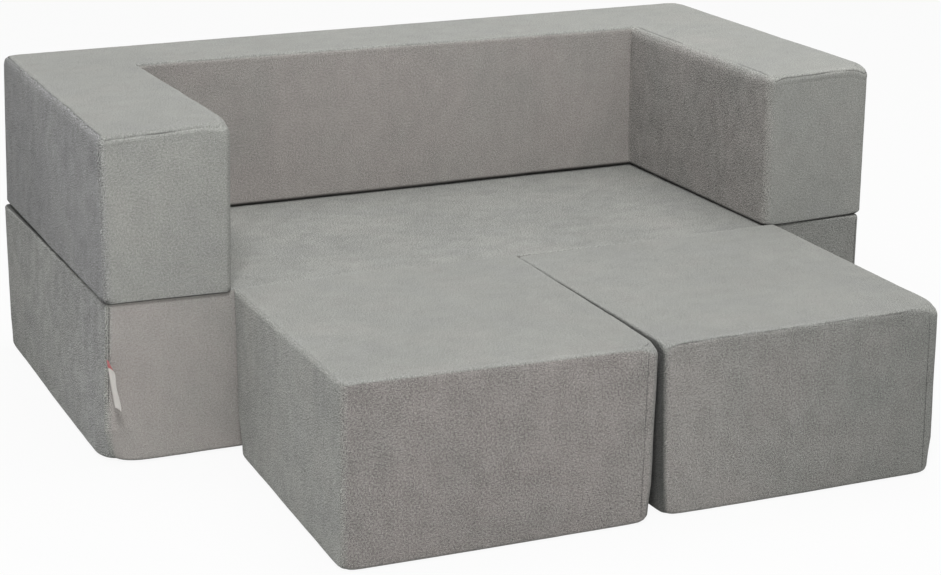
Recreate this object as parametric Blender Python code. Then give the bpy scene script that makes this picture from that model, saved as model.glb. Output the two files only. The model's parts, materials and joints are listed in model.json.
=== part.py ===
"""Modular foam play sofa: a base block, a U-shaped back unit that folds off it on a fabric hinge, and two ottomans.

Every module is a foam core inside a zipped cover that is sewn from panels. Metres, +Z up. The origin is the middle of
the base block's underside, -Y is the front and +X is on the right of somebody who looks at the front.
"""

import math
from dataclasses import dataclass, field, replace

import bmesh
import bpy
from mathutils import Vector

# Driving dimensions of the modules
SOFA_WIDTH = 1.420
SOFA_DEPTH = 0.705
BLOCK_HEIGHT = 0.280
ARM_WIDTH = 0.210
BACK_DEPTH = 0.195

# How the modules stand to each other
SEAT_GAP = 0.0004
FOLDED_FLOOR_GAP = 0.0010
HINGE_STANDOFF = 0.0060
OTTOMAN_FIT_CLEARANCE = 0.0020
OTTOMAN_WIDTH = (SOFA_WIDTH - 2.0 * ARM_WIDTH) / 2.0 - OTTOMAN_FIT_CLEARANCE
OTTOMAN_DEPTH = SOFA_DEPTH - BACK_DEPTH - OTTOMAN_FIT_CLEARANCE
OTTOMAN_BACK_GAP = 0.0120
OTTOMAN_SIDE_GAP = 0.0180
OTTOMAN_PAIR_SHIFT = 0.0130

# Form of a covered foam block
EDGE_RADIUS = 0.012
SOFT_TOP_CORNER = 0.022
SOFT_BOTTOM_CORNER = 0.034
UPRIGHT_RADIUS = 0.016
INNER_UPRIGHT_RADIUS = 0.014
LEAST_RADIUS = 0.002
SOFT_REACH = 0.060
SOFT_STOP_SHARES = (0.5, 1.0)
WALL_SWELL = 0.0030
SEAT_CROWN = 0.0030
ARM_CROWN = 0.0025
OTTOMAN_CROWN = 0.0040
SEAT_CROWN_START = 0.215
SEAT_CROWN_FULL = 0.290
ARM_CROWN_START = 0.045
ARM_CROWN_FULL = 0.084
OTTOMAN_CROWN_START = 0.080
OTTOMAN_CROWN_FULL = 0.190
FILLET_STEPS = 3
CREASE_ANGLE = math.radians(40.0)

# Cover cloth and its seams
CLOTH = 0.0018
CORE_CLEARANCE = 0.0005
CORE_SOFTER = 0.0040
CORE_JOINT_GAP = 0.0003
SEAM_GAP = 0.0003
UPRIGHT_SEAM_INSET = 0.0175
TOP_SEAM_TURN = math.radians(45.0)
BOTTOM_SEAM_TURN = math.radians(50.0)
SQUARE_TURN = math.radians(90.0)

# Zips: each lies in a slot along the rear wall of its cover
ZIP_SLOT_HEIGHT = 0.0130
ZIP_END_MARGIN = 0.0700
ZIP_CENTRE_HEIGHT = 0.0520
BACK_ZIP_CENTRE_HEIGHT = 0.0760
ZIP_FIT = 0.0003
TAPE_RECESS = 0.0006
TAPE_THICKNESS = 0.0009
CHAIN_WIDTH = 0.0060
CHAIN_HEIGHT = 0.0020
CHAIN_CROWN_SHARES = ((-1.0, 0.0), (-0.9, 0.7), (-0.45, 1.0), (0.45, 1.0), (0.9, 0.7), (1.0, 0.0))
SLIDER_LENGTH = 0.0110
SLIDER_NOSE_WIDTH = 0.0088
SLIDER_WING_WIDTH = 0.0104
SLIDER_PLATE = 0.0010
SLIDER_END_GAP = 0.0030
ARCH_LENGTH = 0.0076
ARCH_WIDTH = 0.0024
ARCH_THICKNESS = 0.0010
ARCH_TUNNEL_HEIGHT = 0.0020
ARCH_SINK = 0.0004
PULL_LENGTH = 0.0240
PULL_WIDTH = 0.0070
PULL_THICKNESS = 0.0011
PULL_EYE_LENGTH = 0.0054
PULL_EYE_WIDTH = 0.0036
PULL_END_STEPS = 6

# Fabric hinge between the base and the back unit
FLAP_SIDE_MARGIN = 0.0600
FLAP_REACH = 0.0420
FLAP_THICKNESS = 0.0014
FLAP_OFF_WALL = 0.0003
FLAP_SPLIT = 0.0003
FLAP_BEND_DROP = 0.0090

# Sewn-in label
LABEL_LENGTH = 0.0850
LABEL_WIDTH = 0.0200
LABEL_TOP_WIDTH = 0.0110
LABEL_THICKNESS = 0.0008
LABEL_TOP_HEIGHT = 0.1780
LABEL_LEAN = 0.0050
LABEL_OFF_WALL = 0.0005
LABEL_STAND_OFF = 0.0035
LABEL_TURN = math.radians(72.0)
LABEL_STEPS = 4


@dataclass(frozen=True)
class Finish:
    """Colour, roughness and metallic value of one material."""

    name: str
    colour: tuple
    roughness: float
    metallic: float = 0.0


PLUSH = Finish("plush_fabric", (0.285, 0.278, 0.262), 0.92)
FOAM = Finish("foam", (0.780, 0.750, 0.640), 0.95)
TAPE = Finish("zip_tape", (0.160, 0.158, 0.150), 0.85)
COIL = Finish("zip_coil", (0.120, 0.118, 0.112), 0.45)
SLIDER = Finish("zip_slider", (0.330, 0.330, 0.325), 0.38, 0.9)
LABEL = Finish("label_cloth", (0.820, 0.805, 0.780), 0.60)


def material(finish):
    """Returns the Principled material of a finish, made once."""
    made = bpy.data.materials.get(finish.name)
    if made is None:
        made = bpy.data.materials.new(finish.name)
        made.use_nodes = True
        shader = made.node_tree.nodes["Principled BSDF"]
        shader.inputs["Base Color"].default_value = (*finish.colour, 1.0)
        shader.inputs["Roughness"].default_value = finish.roughness
        shader.inputs["Metallic"].default_value = finish.metallic
        made.diffuse_color = (*finish.colour, 1.0)
    return made


def lay_down(name, bm, finish, parent=None, smooth=True):
    """Turns a bmesh in world metres into a named object that hangs from an empty, and frees the bmesh."""
    bmesh.ops.recalc_face_normals(bm, faces=bm.faces)
    mesh = bpy.data.meshes.new(name)
    bm.to_mesh(mesh)
    bm.free()
    if smooth:
        mesh.shade_smooth()
        mesh.set_sharp_from_angle(angle=CREASE_ANGLE)
    obj = bpy.data.objects.new(name, mesh)
    bpy.context.scene.collection.objects.link(obj)
    mesh.materials.append(material(finish))
    if parent is not None:
        mesh.transform(parent.matrix_world.inverted())
        obj.parent = parent
    return obj


def axis_empty(name, place, parent=None):
    """Makes the empty that stands on a moving module's joint, with its module hung from it."""
    empty = bpy.data.objects.new(name, None)
    bpy.context.scene.collection.objects.link(empty)
    if parent is None:
        empty.location = place
    else:
        empty.parent = parent
        empty.location = Vector(place) - parent.matrix_world.translation
    bpy.context.view_layer.update()
    return empty


def mix(a, b, share):
    """Goes from a to b by a share."""
    return a + (b - a) * share


@dataclass(frozen=True)
class Column:
    """One point of a plan outline: on a fillet where turn is set, otherwise on the straight after that corner."""

    corner: int
    turn: float = None
    along: float = 0.0
    soft: float = 0.0
    swell: float = 0.0
    mark: str = ""


@dataclass(frozen=True)
class Ring:
    """One height of a block: on its bottom or top rounding, on its wall, or on its crown."""

    zone: str
    value: float
    shift: float = 0.0
    share: float = 0.0
    mark: str = ""


@dataclass
class Block:
    """A covered foam block over a square-cornered plan outline, walked counter-clockwise from above."""

    corners: list
    floor: float
    height: float
    crown: float
    crown_start: float
    crown_full: float
    swells: list
    seams: dict = field(default_factory=dict)
    zip_edge: int = None
    zip_height: float = 0.0
    softer: float = 0.0

    def edge(self, k):
        """Returns an edge's first corner, its direction, its inward normal and its length."""
        a = Vector(self.corners[k])
        b = Vector(self.corners[(k + 1) % len(self.corners)])
        along = (b - a).normalized()
        return a, along, Vector((-along.y, along.x)), (b - a).length

    def convex(self, k):
        """Says whether a corner points out of the block."""
        before = self.edge(k - 1)[1]
        after = self.edge(k)[1]
        return before.x * after.y - before.y * after.x > 0.0

    def fillet(self, k, inset):
        """Returns the radius of a corner's fillet on an outline that is drawn in by an inset."""
        if self.convex(k):
            return max(UPRIGHT_RADIUS - inset, LEAST_RADIUS)
        return INNER_UPRIGHT_RADIUS + inset

    def setback(self, k, inset):
        """Returns how far from a corner, along its edges, the straight begins."""
        if self.convex(k):
            return inset + self.fillet(k, inset)
        return INNER_UPRIGHT_RADIUS

    def plan_point(self, column, inset):
        """Returns a column's place on the outline that is drawn in by an inset."""
        k = column.corner
        a, along, normal, length = self.edge(k)
        if column.turn is not None:
            before = self.edge(k - 1)[2]
            angle = column.turn * SQUARE_TURN
            reach = before * math.cos(angle) + normal * math.sin(angle)
            radius = self.fillet(k, inset)
            if self.convex(k):
                return a + (before + normal) * (inset + radius) - reach * radius
            return a - (before + normal) * INNER_UPRIGHT_RADIUS + reach * radius
        last = (k + 1) % len(self.corners)
        start, plain_start = self.setback(k, inset), self.setback(k, 0.0)
        run = length - start - self.setback(last, inset)
        plain_run = length - plain_start - self.setback(last, 0.0)
        place = start + (column.along - plain_start) * run / plain_run
        return a + along * place + normal * inset

    def columns(self):
        """Lists the outline's points in order."""
        found = []
        for k in range(len(self.corners)):
            length = self.edge(k)[3]
            last = (k + 1) % len(self.corners)
            softness = 1.0 if self.convex(k) else 0.0
            for step in range(FILLET_STEPS + 1):
                found.append(Column(k, turn=step / FILLET_STEPS, soft=softness))
            stops = {}
            for share in SOFT_STOP_SHARES:
                place = mix(UPRIGHT_RADIUS, SOFT_REACH, share)
                if self.convex(k):
                    stops[place] = ("", 0.0)
                if self.convex(last):
                    stops[length - place] = ("", 0.0)
            if self.swells[k]:
                stops[length / 2.0] = ("", 1.0)
            for side, place in self.seams.get(k, {}).items():
                stops[place - SEAM_GAP / 2.0] = (f"{side}_seam_first", 0.0)
                stops[place + SEAM_GAP / 2.0] = (f"{side}_seam_second", 0.0)
            if k == self.zip_edge:
                reach = length / 2.0 - ZIP_END_MARGIN
                stops[length / 2.0 - reach] = ("zip_first", 0.0)
                stops[length / 2.0 + reach] = ("zip_second", 0.0)
            for place in sorted(stops):
                mark, swell = stops[place]
                near = min(place if self.convex(k) else length, length - place if self.convex(last) else length)
                free = (near - UPRIGHT_RADIUS) / (SOFT_REACH - UPRIGHT_RADIUS)
                soft = max(0.0, 1.0 - free) ** 2
                found.append(Column(k, along=place, soft=soft, swell=swell, mark=mark))
        return found

    def rings(self):
        """Lists the block's heights from its underside to its crown."""
        found = [Ring("bottom", 0.0)]
        found.append(Ring("bottom", BOTTOM_SEAM_TURN, -SEAM_GAP / 2.0, mark="low_seam_first"))
        found.append(Ring("bottom", BOTTOM_SEAM_TURN, SEAM_GAP / 2.0, mark="low_seam_second"))
        found.append(Ring("bottom", SQUARE_TURN))
        if self.zip_edge is not None:
            for sign in (-1.0, 1.0):
                level = self.zip_height + sign * ZIP_SLOT_HEIGHT / 2.0
                found.append(Ring("wall", level, share=math.sin(math.pi * level / self.height), mark="zip"))
        found.append(Ring("wall", self.height / 2.0, share=1.0))
        found.append(Ring("top", SQUARE_TURN))
        found.append(Ring("top", TOP_SEAM_TURN, SEAM_GAP / 2.0, mark="high_seam_first"))
        found.append(Ring("top", TOP_SEAM_TURN, -SEAM_GAP / 2.0, mark="high_seam_second"))
        found.append(Ring("top", 0.0))
        found.append(Ring("crown", self.crown_start, share=0.0))
        found.append(Ring("crown", self.crown_full, share=1.0))
        return found

    def point(self, column, ring, depth):
        """Returns a point of the block's skin, or of the surface that lies a depth inside it."""
        if ring.zone == "wall":
            inset = depth - WALL_SWELL * column.swell * ring.share
            level = ring.value
        elif ring.zone == "crown":
            inset = ring.value
            level = self.height - self.crown * (1.0 - ring.share) - depth
        else:
            corner = SOFT_BOTTOM_CORNER if ring.zone == "bottom" else SOFT_TOP_CORNER
            radius = mix(EDGE_RADIUS, corner + self.softer, column.soft)
            turn = ring.value + ring.shift / radius
            inset = radius - (radius - depth) * math.sin(turn)
            drop = radius - (radius - depth) * math.cos(turn)
            level = drop if ring.zone == "bottom" else self.height - self.crown - drop
        place = self.plan_point(column, inset)
        return Vector((place.x, place.y, self.floor + level))


def between(items, first, last):
    """Returns the items from the one marked first to the one marked last, round the end of the list if need be."""
    marks = [item.mark for item in items]
    start = marks.index(first) if first else 0
    stop = marks.index(last) if last else len(items) - 1
    if start <= stop:
        return items[start:stop + 1]
    return items[start:] + items[:stop + 1]


def split_facet(low, high, columns, j, k):
    """Splits the facet between two columns and two rings, so that every skin of a block folds along like lines."""
    if columns[j].soft <= columns[k].soft:
        return [(low[j], low[k], high[k]), (low[j], high[k], high[j])]
    return [(low[j], low[k], high[j]), (low[k], high[k], high[j])]


def cover_panel(name, block, rings, columns, parent, closed=True, cap="", finish=PLUSH):
    """Makes one sewn panel of a cover: a skin of the block with the cloth's thickness.

    closed joins the last column to the first, and cap fills the first or the last ring. Where the panel reaches over
    the whole of a zip slot, the slot is left open.
    """
    bm = bmesh.new()
    sides = []
    for depth in (0.0, CLOTH):
        sides.append([[bm.verts.new(block.point(c, r, depth)) for c in columns] for r in rings])
    outer, inner = sides
    twin = {}
    for row, inside in zip(outer, inner):
        twin.update(zip(row, inside))
    skin = []
    for i in range(len(rings) - 1):
        in_slot = rings[i].mark == "zip" and rings[i + 1].mark == "zip"
        for j in range(len(columns) if closed else len(columns) - 1):
            k = (j + 1) % len(columns)
            if in_slot and columns[j].mark == "zip_first":
                continue
            skin += split_facet(outer[i], outer[i + 1], columns, j, k)
    if cap == "first":
        skin.append(tuple(reversed(outer[0])))
    if cap == "last":
        skin.append(tuple(outer[-1]))
    for face in skin:
        bm.faces.new(face)
        bm.faces.new([twin[v] for v in reversed(face)])
    rim = [e for e in bm.edges if e.is_boundary and e.verts[0] in twin]
    for edge in rim:
        a, b = edge.verts
        bm.faces.new((a, b, twin[b], twin[a]))
    return lay_down(name, bm, finish, parent)


def foam_mesh(block):
    """Makes the closed foam shape that fills a cover, with a clearance all round."""
    bm = bmesh.new()
    depth = CLOTH + CORE_CLEARANCE
    block = replace(block, softer=CORE_SOFTER)
    columns = [c for c in block.columns() if not c.mark]
    rings = [r for r in block.rings() if r.mark in ("", "low_seam_first", "high_seam_first")]
    rows = [[bm.verts.new(block.point(c, r, depth)) for c in columns] for r in rings]
    for low, high in zip(rows, rows[1:]):
        for j in range(len(columns)):
            for facet in split_facet(low, high, columns, j, (j + 1) % len(columns)):
                bm.faces.new(facet)
    bm.faces.new(tuple(reversed(rows[0])))
    bm.faces.new(tuple(rows[-1]))
    return bm


def core_block(cover, low, high):
    """Returns the plain block of foam, between two plan corners, that stands inside a part of a cover."""
    corners = [low, (high[0], low[1]), high, (low[0], high[1])]
    height = cover.height - cover.crown
    return Block(corners, cover.floor, height, 0.0, cover.crown_start, cover.crown_full, swells=[False] * len(corners))


def box_mesh(low, high):
    """Makes a box between two corners."""
    bm = bmesh.new()
    corners = [bm.verts.new((x, y, z)) for z in (low[2], high[2]) for y in (low[1], high[1]) for x in (low[0], high[0])]
    for quad in ((0, 2, 3, 1), (4, 5, 7, 6), (0, 1, 5, 4), (2, 6, 7, 3), (0, 4, 6, 2), (1, 3, 7, 5)):
        bm.faces.new([corners[n] for n in quad])
    return bm


def loft_mesh(sections):
    """Joins closed outlines with like numbers of points into one solid."""
    bm = bmesh.new()
    rows = [[bm.verts.new(p) for p in section] for section in sections]
    count = len(rows[0])
    for low, high in zip(rows, rows[1:]):
        for j in range(count):
            k = (j + 1) % count
            bm.faces.new((low[j], low[k], high[k], high[j]))
    bm.faces.new(tuple(reversed(rows[0])))
    bm.faces.new(tuple(rows[-1]))
    return bm


def combine(obj, name, bm, operation):
    """Unites an object with a helper shape, or cuts the shape out of it."""
    helper = lay_down(name, bm, SLIDER)
    helper.hide_render = True
    helper.display_type = "WIRE"
    helper.hide_set(True)
    change = obj.modifiers.new(name, "BOOLEAN")
    change.operation = operation
    change.solver = "EXACT"
    change.object = helper


def add_zip(prefix, centre, wall, level, run, parent):
    """Lays a closed zip in a cover's slot: two tapes, the chain on them, the slider and its pull.

    The zip runs along X in a wall that faces +Y. The slider rests at the +X end, where the zip is shut, and its pull
    lies back over the chain.
    """
    face = wall - TAPE_RECESS
    reach = run / 2.0 - ZIP_FIT
    half_slot = ZIP_SLOT_HEIGHT / 2.0 - ZIP_FIT
    for side, sign in (("upper", 1.0), ("lower", -1.0)):
        near, far = sorted((level + sign * ZIP_FIT / 2.0, level + sign * half_slot))
        low = (centre - reach, face - TAPE_THICKNESS, near)
        lay_down(f"{prefix}_zip_{side}_tape", box_mesh(low, (centre + reach, face, far)), TAPE, parent)
    foot = face + ZIP_FIT
    sections = []
    for x in (centre - reach, centre + reach):
        outline = []
        for across, up in CHAIN_CROWN_SHARES:
            outline.append((x, foot + up * CHAIN_HEIGHT, level + across * CHAIN_WIDTH / 2.0))
        sections.append(outline)
    lay_down(f"{prefix}_zip_chain", loft_mesh(sections), COIL, parent)

    slider_x = centre + reach - SLIDER_END_GAP - SLIDER_LENGTH / 2.0
    tunnel_floor = foot + CHAIN_HEIGHT + ZIP_FIT + SLIDER_PLATE
    pivot = (slider_x, tunnel_floor + ARCH_TUNNEL_HEIGHT / 2.0, level)
    carrier = axis_empty(f"{prefix}_zip_slider_axis", pivot, parent)
    slider = lay_down(f"{prefix}_zip_slider", slider_mesh(slider_x, foot, level), SLIDER, carrier, smooth=False)
    combine(slider, f"{prefix}_zip_arch_shape", arch_mesh(slider_x, tunnel_floor, level), "UNION")
    swing = axis_empty(f"{prefix}_zip_pull_axis", pivot, carrier)
    lay_down(f"{prefix}_zip_pull", pull_mesh(pivot), SLIDER, swing, smooth=False)


def slider_mesh(x, foot, level):
    """Makes the slider's body: a plate with two flanges that ride beside the chain, wider at its wings."""
    ceiling = foot + CHAIN_HEIGHT + ZIP_FIT
    top = ceiling + SLIDER_PLATE
    hollow = CHAIN_WIDTH / 2.0 + ZIP_FIT
    start = x - SLIDER_LENGTH / 2.0
    widths = (SLIDER_NOSE_WIDTH, SLIDER_WING_WIDTH, SLIDER_WING_WIDTH, SLIDER_NOSE_WIDTH)
    length_shares = (0.0, 0.35, 0.75, 1.0)
    sections = []
    for width, share in zip(widths, length_shares):
        half = width / 2.0
        here = start + SLIDER_LENGTH * share
        outline = [(-half, foot), (-half, top), (half, top), (half, foot)]
        outline += [(hollow, foot), (hollow, ceiling), (-hollow, ceiling), (-hollow, foot)]
        sections.append([(here, y, level + z) for z, y in outline])
    return loft_mesh(sections)


def arch_mesh(x, floor, level):
    """Makes the arch on the slider that holds the pull's bar, sunk a little into the plate that it is cast on."""
    half = ARCH_LENGTH / 2.0
    inside = half - ARCH_THICKNESS
    ceiling = floor + ARCH_TUNNEL_HEIGHT
    foot = floor - ARCH_SINK
    outline = [(-half, foot), (-half, ceiling), (-inside, ceiling + ARCH_THICKNESS), (inside, ceiling + ARCH_THICKNESS)]
    outline += [(half, ceiling), (half, foot), (inside, foot), (inside, ceiling), (-inside, ceiling), (-inside, foot)]
    sides = (level - ARCH_WIDTH / 2.0, level + ARCH_WIDTH / 2.0)
    return loft_mesh([[(x + px, py, z) for px, py in outline] for z in sides])


def pull_mesh(pivot):
    """Makes the pull: a flat tab with a round end, and an eye whose bar lies on the pivot under the arch."""
    x, y, z = pivot
    half = PULL_WIDTH / 2.0
    bar = PULL_THICKNESS / 2.0
    centre = x - PULL_LENGTH + half
    outer = [(x + bar, z - half), (x + bar, z + half)]
    for step in range(PULL_END_STEPS + 1):
        angle = SQUARE_TURN + 2.0 * SQUARE_TURN * step / PULL_END_STEPS
        outer.append((centre + half * math.cos(angle), z + half * math.sin(angle)))
    eye_half = PULL_EYE_WIDTH / 2.0
    near, far = x - bar, x - bar - PULL_EYE_LENGTH
    eye = [(near, z - eye_half), (near, z + eye_half), (far, z + eye_half), (far, z - eye_half)]
    bm = bmesh.new()
    loops = []
    for level in (y - bar, y + bar):
        loops.append([[bm.verts.new((px, level, pz)) for px, pz in loop] for loop in (outer, eye)])
    for outer_loop, eye_loop in loops:
        edges = []
        for loop in (outer_loop, eye_loop):
            edges += [bm.edges.new((loop[n], loop[(n + 1) % len(loop)])) for n in range(len(loop))]
        bmesh.ops.triangle_fill(bm, edges=edges, use_beauty=True)
    for low, high in zip(*loops):
        for n in range(len(low)):
            k = (n + 1) % len(low)
            bm.faces.new((low[n], low[k], high[k], high[n]))
    return bm


def add_cover(prefix, block, bands, parent, top_name):
    """Sews a block's cover: a top panel, the wall bands between their upright seams, and an underside panel."""
    columns = block.columns()
    whole = [c for c in columns if not c.mark.endswith("second") or c.mark.startswith("zip")]
    rings = block.rings()
    top = between(rings, "high_seam_second", "")
    underside = between(rings, "", "low_seam_first")
    wall = between(rings, "low_seam_second", "high_seam_first")
    cover_panel(f"{prefix}_{top_name}", block, top, whole, parent, cap="last")
    cover_panel(f"{prefix}_underside_panel", block, underside, whole, parent, cap="first")
    for name, first, last in bands:
        strip = between(columns, f"{first}_seam_second", f"{last}_seam_first")
        cover_panel(f"{prefix}_{name}", block, wall, strip, parent, closed=False)


def zip_run(block):
    """Returns the length of a block's zip slot."""
    return block.edge(block.zip_edge)[3] - 2.0 * ZIP_END_MARGIN


def make_base(hinge):
    """Makes the base block: its foam, cover, zip, label and the lower leaf of the fabric hinge."""
    half, front, rear = SOFA_WIDTH / 2.0, -SOFA_DEPTH / 2.0, SOFA_DEPTH / 2.0
    block = Block(
        corners=[(-half, front), (half, front), (half, rear), (-half, rear)],
        floor=0.0,
        height=BLOCK_HEIGHT + SEAT_CROWN,
        crown=SEAT_CROWN,
        crown_start=SEAT_CROWN_START,
        crown_full=SEAT_CROWN_FULL,
        swells=[True, True, False, True],
        seams={0: {"left": UPRIGHT_SEAM_INSET, "right": SOFA_WIDTH - UPRIGHT_SEAM_INSET}},
        zip_edge=2,
        zip_height=ZIP_CENTRE_HEIGHT,
    )
    module = axis_empty("base_module", (0.0, 0.0, 0.0))
    lay_down("base_foam", foam_mesh(block), FOAM, module)
    bands = [("front_panel", "left", "right"), ("side_band", "right", "left")]
    add_cover("base", block, bands, module, "seat_panel")
    add_zip("base", 0.0, rear, ZIP_CENTRE_HEIGHT, zip_run(block), module)
    lay_down("hinge_flap_lower", flap_mesh(hinge, -1.0), PLUSH, module)
    lay_down("base_label", label_mesh(-half + UPRIGHT_SEAM_INSET, front), LABEL, module)
    return module


def flap_mesh(hinge, side):
    """Makes one leaf of the fabric hinge: it lies on a rear wall and bends out to the hinge line.

    side is -1 for the leaf on the base, below the line, and 1 for the leaf on the back unit, above it.
    """
    rear, level = hinge
    near = rear + FLAP_OFF_WALL
    far = near + FLAP_THICKNESS
    tip = rear + HINGE_STANDOFF - FLAP_SPLIT / 2.0
    split = FLAP_SPLIT / 2.0
    outline = [(near, FLAP_REACH), (far, FLAP_REACH), (far, FLAP_BEND_DROP), (tip, split + FLAP_THICKNESS)]
    outline += [(tip, split), (near, FLAP_BEND_DROP - FLAP_THICKNESS / 2.0)]
    reach = SOFA_WIDTH / 2.0 - FLAP_SIDE_MARGIN
    return loft_mesh([[(x, y, level + side * away) for y, away in outline] for x in (-reach, reach)])


def label_mesh(seam, front):
    """Makes the bare label that is sewn into the base's left front seam and stands off the wall at its free end."""
    bm = bmesh.new()
    across = Vector((math.cos(LABEL_TURN), -math.sin(LABEL_TURN), 0.0))
    through = Vector((math.sin(LABEL_TURN), math.cos(LABEL_TURN), 0.0)) * LABEL_THICKNESS / 2.0
    rows = []
    for step in range(LABEL_STEPS + 1):
        share = step / LABEL_STEPS
        width = mix(LABEL_TOP_WIDTH, LABEL_WIDTH, math.sin(share * SQUARE_TURN))
        edge = Vector((seam, front - LABEL_OFF_WALL, LABEL_TOP_HEIGHT - share * LABEL_LENGTH))
        edge += Vector((share * share * LABEL_LEAN, -share * LABEL_STAND_OFF, 0.0))
        outer = edge + across * width
        rows.append([bm.verts.new(p) for p in (edge - through, outer - through, outer + through, edge + through)])
    for low, high in zip(rows, rows[1:]):
        for j in range(len(low)):
            k = (j + 1) % len(low)
            bm.faces.new((low[j], low[k], high[k], high[j]))
    bm.faces.new(tuple(reversed(rows[0])))
    bm.faces.new(tuple(rows[-1]))
    return bm


def make_back_unit(hinge, base):
    """Makes the U-shaped back unit: three foam blocks in one cover, and the upper leaf of the fabric hinge."""
    rear, level = hinge
    half, front = SOFA_WIDTH / 2.0, -SOFA_DEPTH / 2.0
    inner, inside = rear - BACK_DEPTH, half - ARM_WIDTH
    block = Block(
        corners=[
            (-half, front), (-inside, front), (-inside, inner), (inside, inner),
            (inside, front), (half, front), (half, rear), (-half, rear),
        ],
        floor=BLOCK_HEIGHT + SEAT_GAP,
        height=BLOCK_HEIGHT - FOLDED_FLOOR_GAP,
        crown=ARM_CROWN,
        crown_start=ARM_CROWN_START,
        crown_full=ARM_CROWN_FULL,
        swells=[True, True, True, True, True, True, False, True],
        seams={0: {"left": UPRIGHT_SEAM_INSET}, 4: {"right": ARM_WIDTH - UPRIGHT_SEAM_INSET}},
        zip_edge=6,
        zip_height=BACK_ZIP_CENTRE_HEIGHT,
    )
    module = axis_empty("back_unit_hinge", (0.0, rear + HINGE_STANDOFF, level), base)
    glue_line = inner + 2.0 * (CLOTH + CORE_CLEARANCE) - CORE_JOINT_GAP
    for name, low, high in (
        ("back_foam", (-half, inner), (half, rear)),
        ("left_arm_foam", (-half, front), (-inside, glue_line)),
        ("right_arm_foam", (inside, front), (half, glue_line)),
    ):
        lay_down(name, foam_mesh(core_block(block, low, high)), FOAM, module)
    bands = [("inner_band", "left", "right"), ("outer_band", "right", "left")]
    add_cover("back_unit", block, bands, module, "top_panel")
    add_zip("back_unit", 0.0, rear, block.floor + BACK_ZIP_CENTRE_HEIGHT, zip_run(block), module)
    lay_down("hinge_flap_upper", flap_mesh(hinge, 1.0), PLUSH, module)


def make_ottoman(name, left, base):
    """Makes one loose ottoman whose left wall stands at a given X, with its back near the base's front."""
    right = left + OTTOMAN_WIDTH
    rear = -SOFA_DEPTH / 2.0 - OTTOMAN_BACK_GAP
    front = rear - OTTOMAN_DEPTH
    block = Block(
        corners=[(left, front), (right, front), (right, rear), (left, rear)],
        floor=0.0,
        height=BLOCK_HEIGHT + OTTOMAN_CROWN,
        crown=OTTOMAN_CROWN,
        crown_start=OTTOMAN_CROWN_START,
        crown_full=OTTOMAN_CROWN_FULL,
        swells=[True, True, False, True],
        seams={0: {"right": OTTOMAN_WIDTH - UPRIGHT_SEAM_INSET}},
        zip_edge=2,
        zip_height=ZIP_CENTRE_HEIGHT,
    )
    middle = (left + right) / 2.0
    module = axis_empty(f"{name}_module", (middle, (front + rear) / 2.0, 0.0), base)
    lay_down(f"{name}_foam", foam_mesh(block), FOAM, module)
    add_cover(name, block, [("side_band", "right", "right")], module, "top_panel")
    add_zip(name, middle, rear, ZIP_CENTRE_HEIGHT, zip_run(block), module)


def main():
    """Clears the scene and builds the sofa."""
    for obj in list(bpy.data.objects):
        bpy.data.objects.remove(obj)
    hinge = (SOFA_DEPTH / 2.0, BLOCK_HEIGHT + SEAT_GAP / 2.0)
    base = make_base(hinge)
    make_back_unit(hinge, base)
    make_ottoman("left_ottoman", OTTOMAN_PAIR_SHIFT - OTTOMAN_SIDE_GAP / 2.0 - OTTOMAN_WIDTH, base)
    make_ottoman("right_ottoman", OTTOMAN_PAIR_SHIFT + OTTOMAN_SIDE_GAP / 2.0, base)


main()
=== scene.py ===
"""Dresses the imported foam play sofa.

It has soft covers over the foam blocks, seams, stitching, zips, hinge cloth and a label. Lengths are in
metres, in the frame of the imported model: the origin is the middle of the base block's underside, -Y is the
front and +X is on the right of somebody who looks at the front.
"""

from __future__ import annotations

import json
import logging
import math
from dataclasses import dataclass, field, replace
from enum import Enum
from typing import Any

import bpy
import numpy as np
from mathutils import Matrix, Vector

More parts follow.
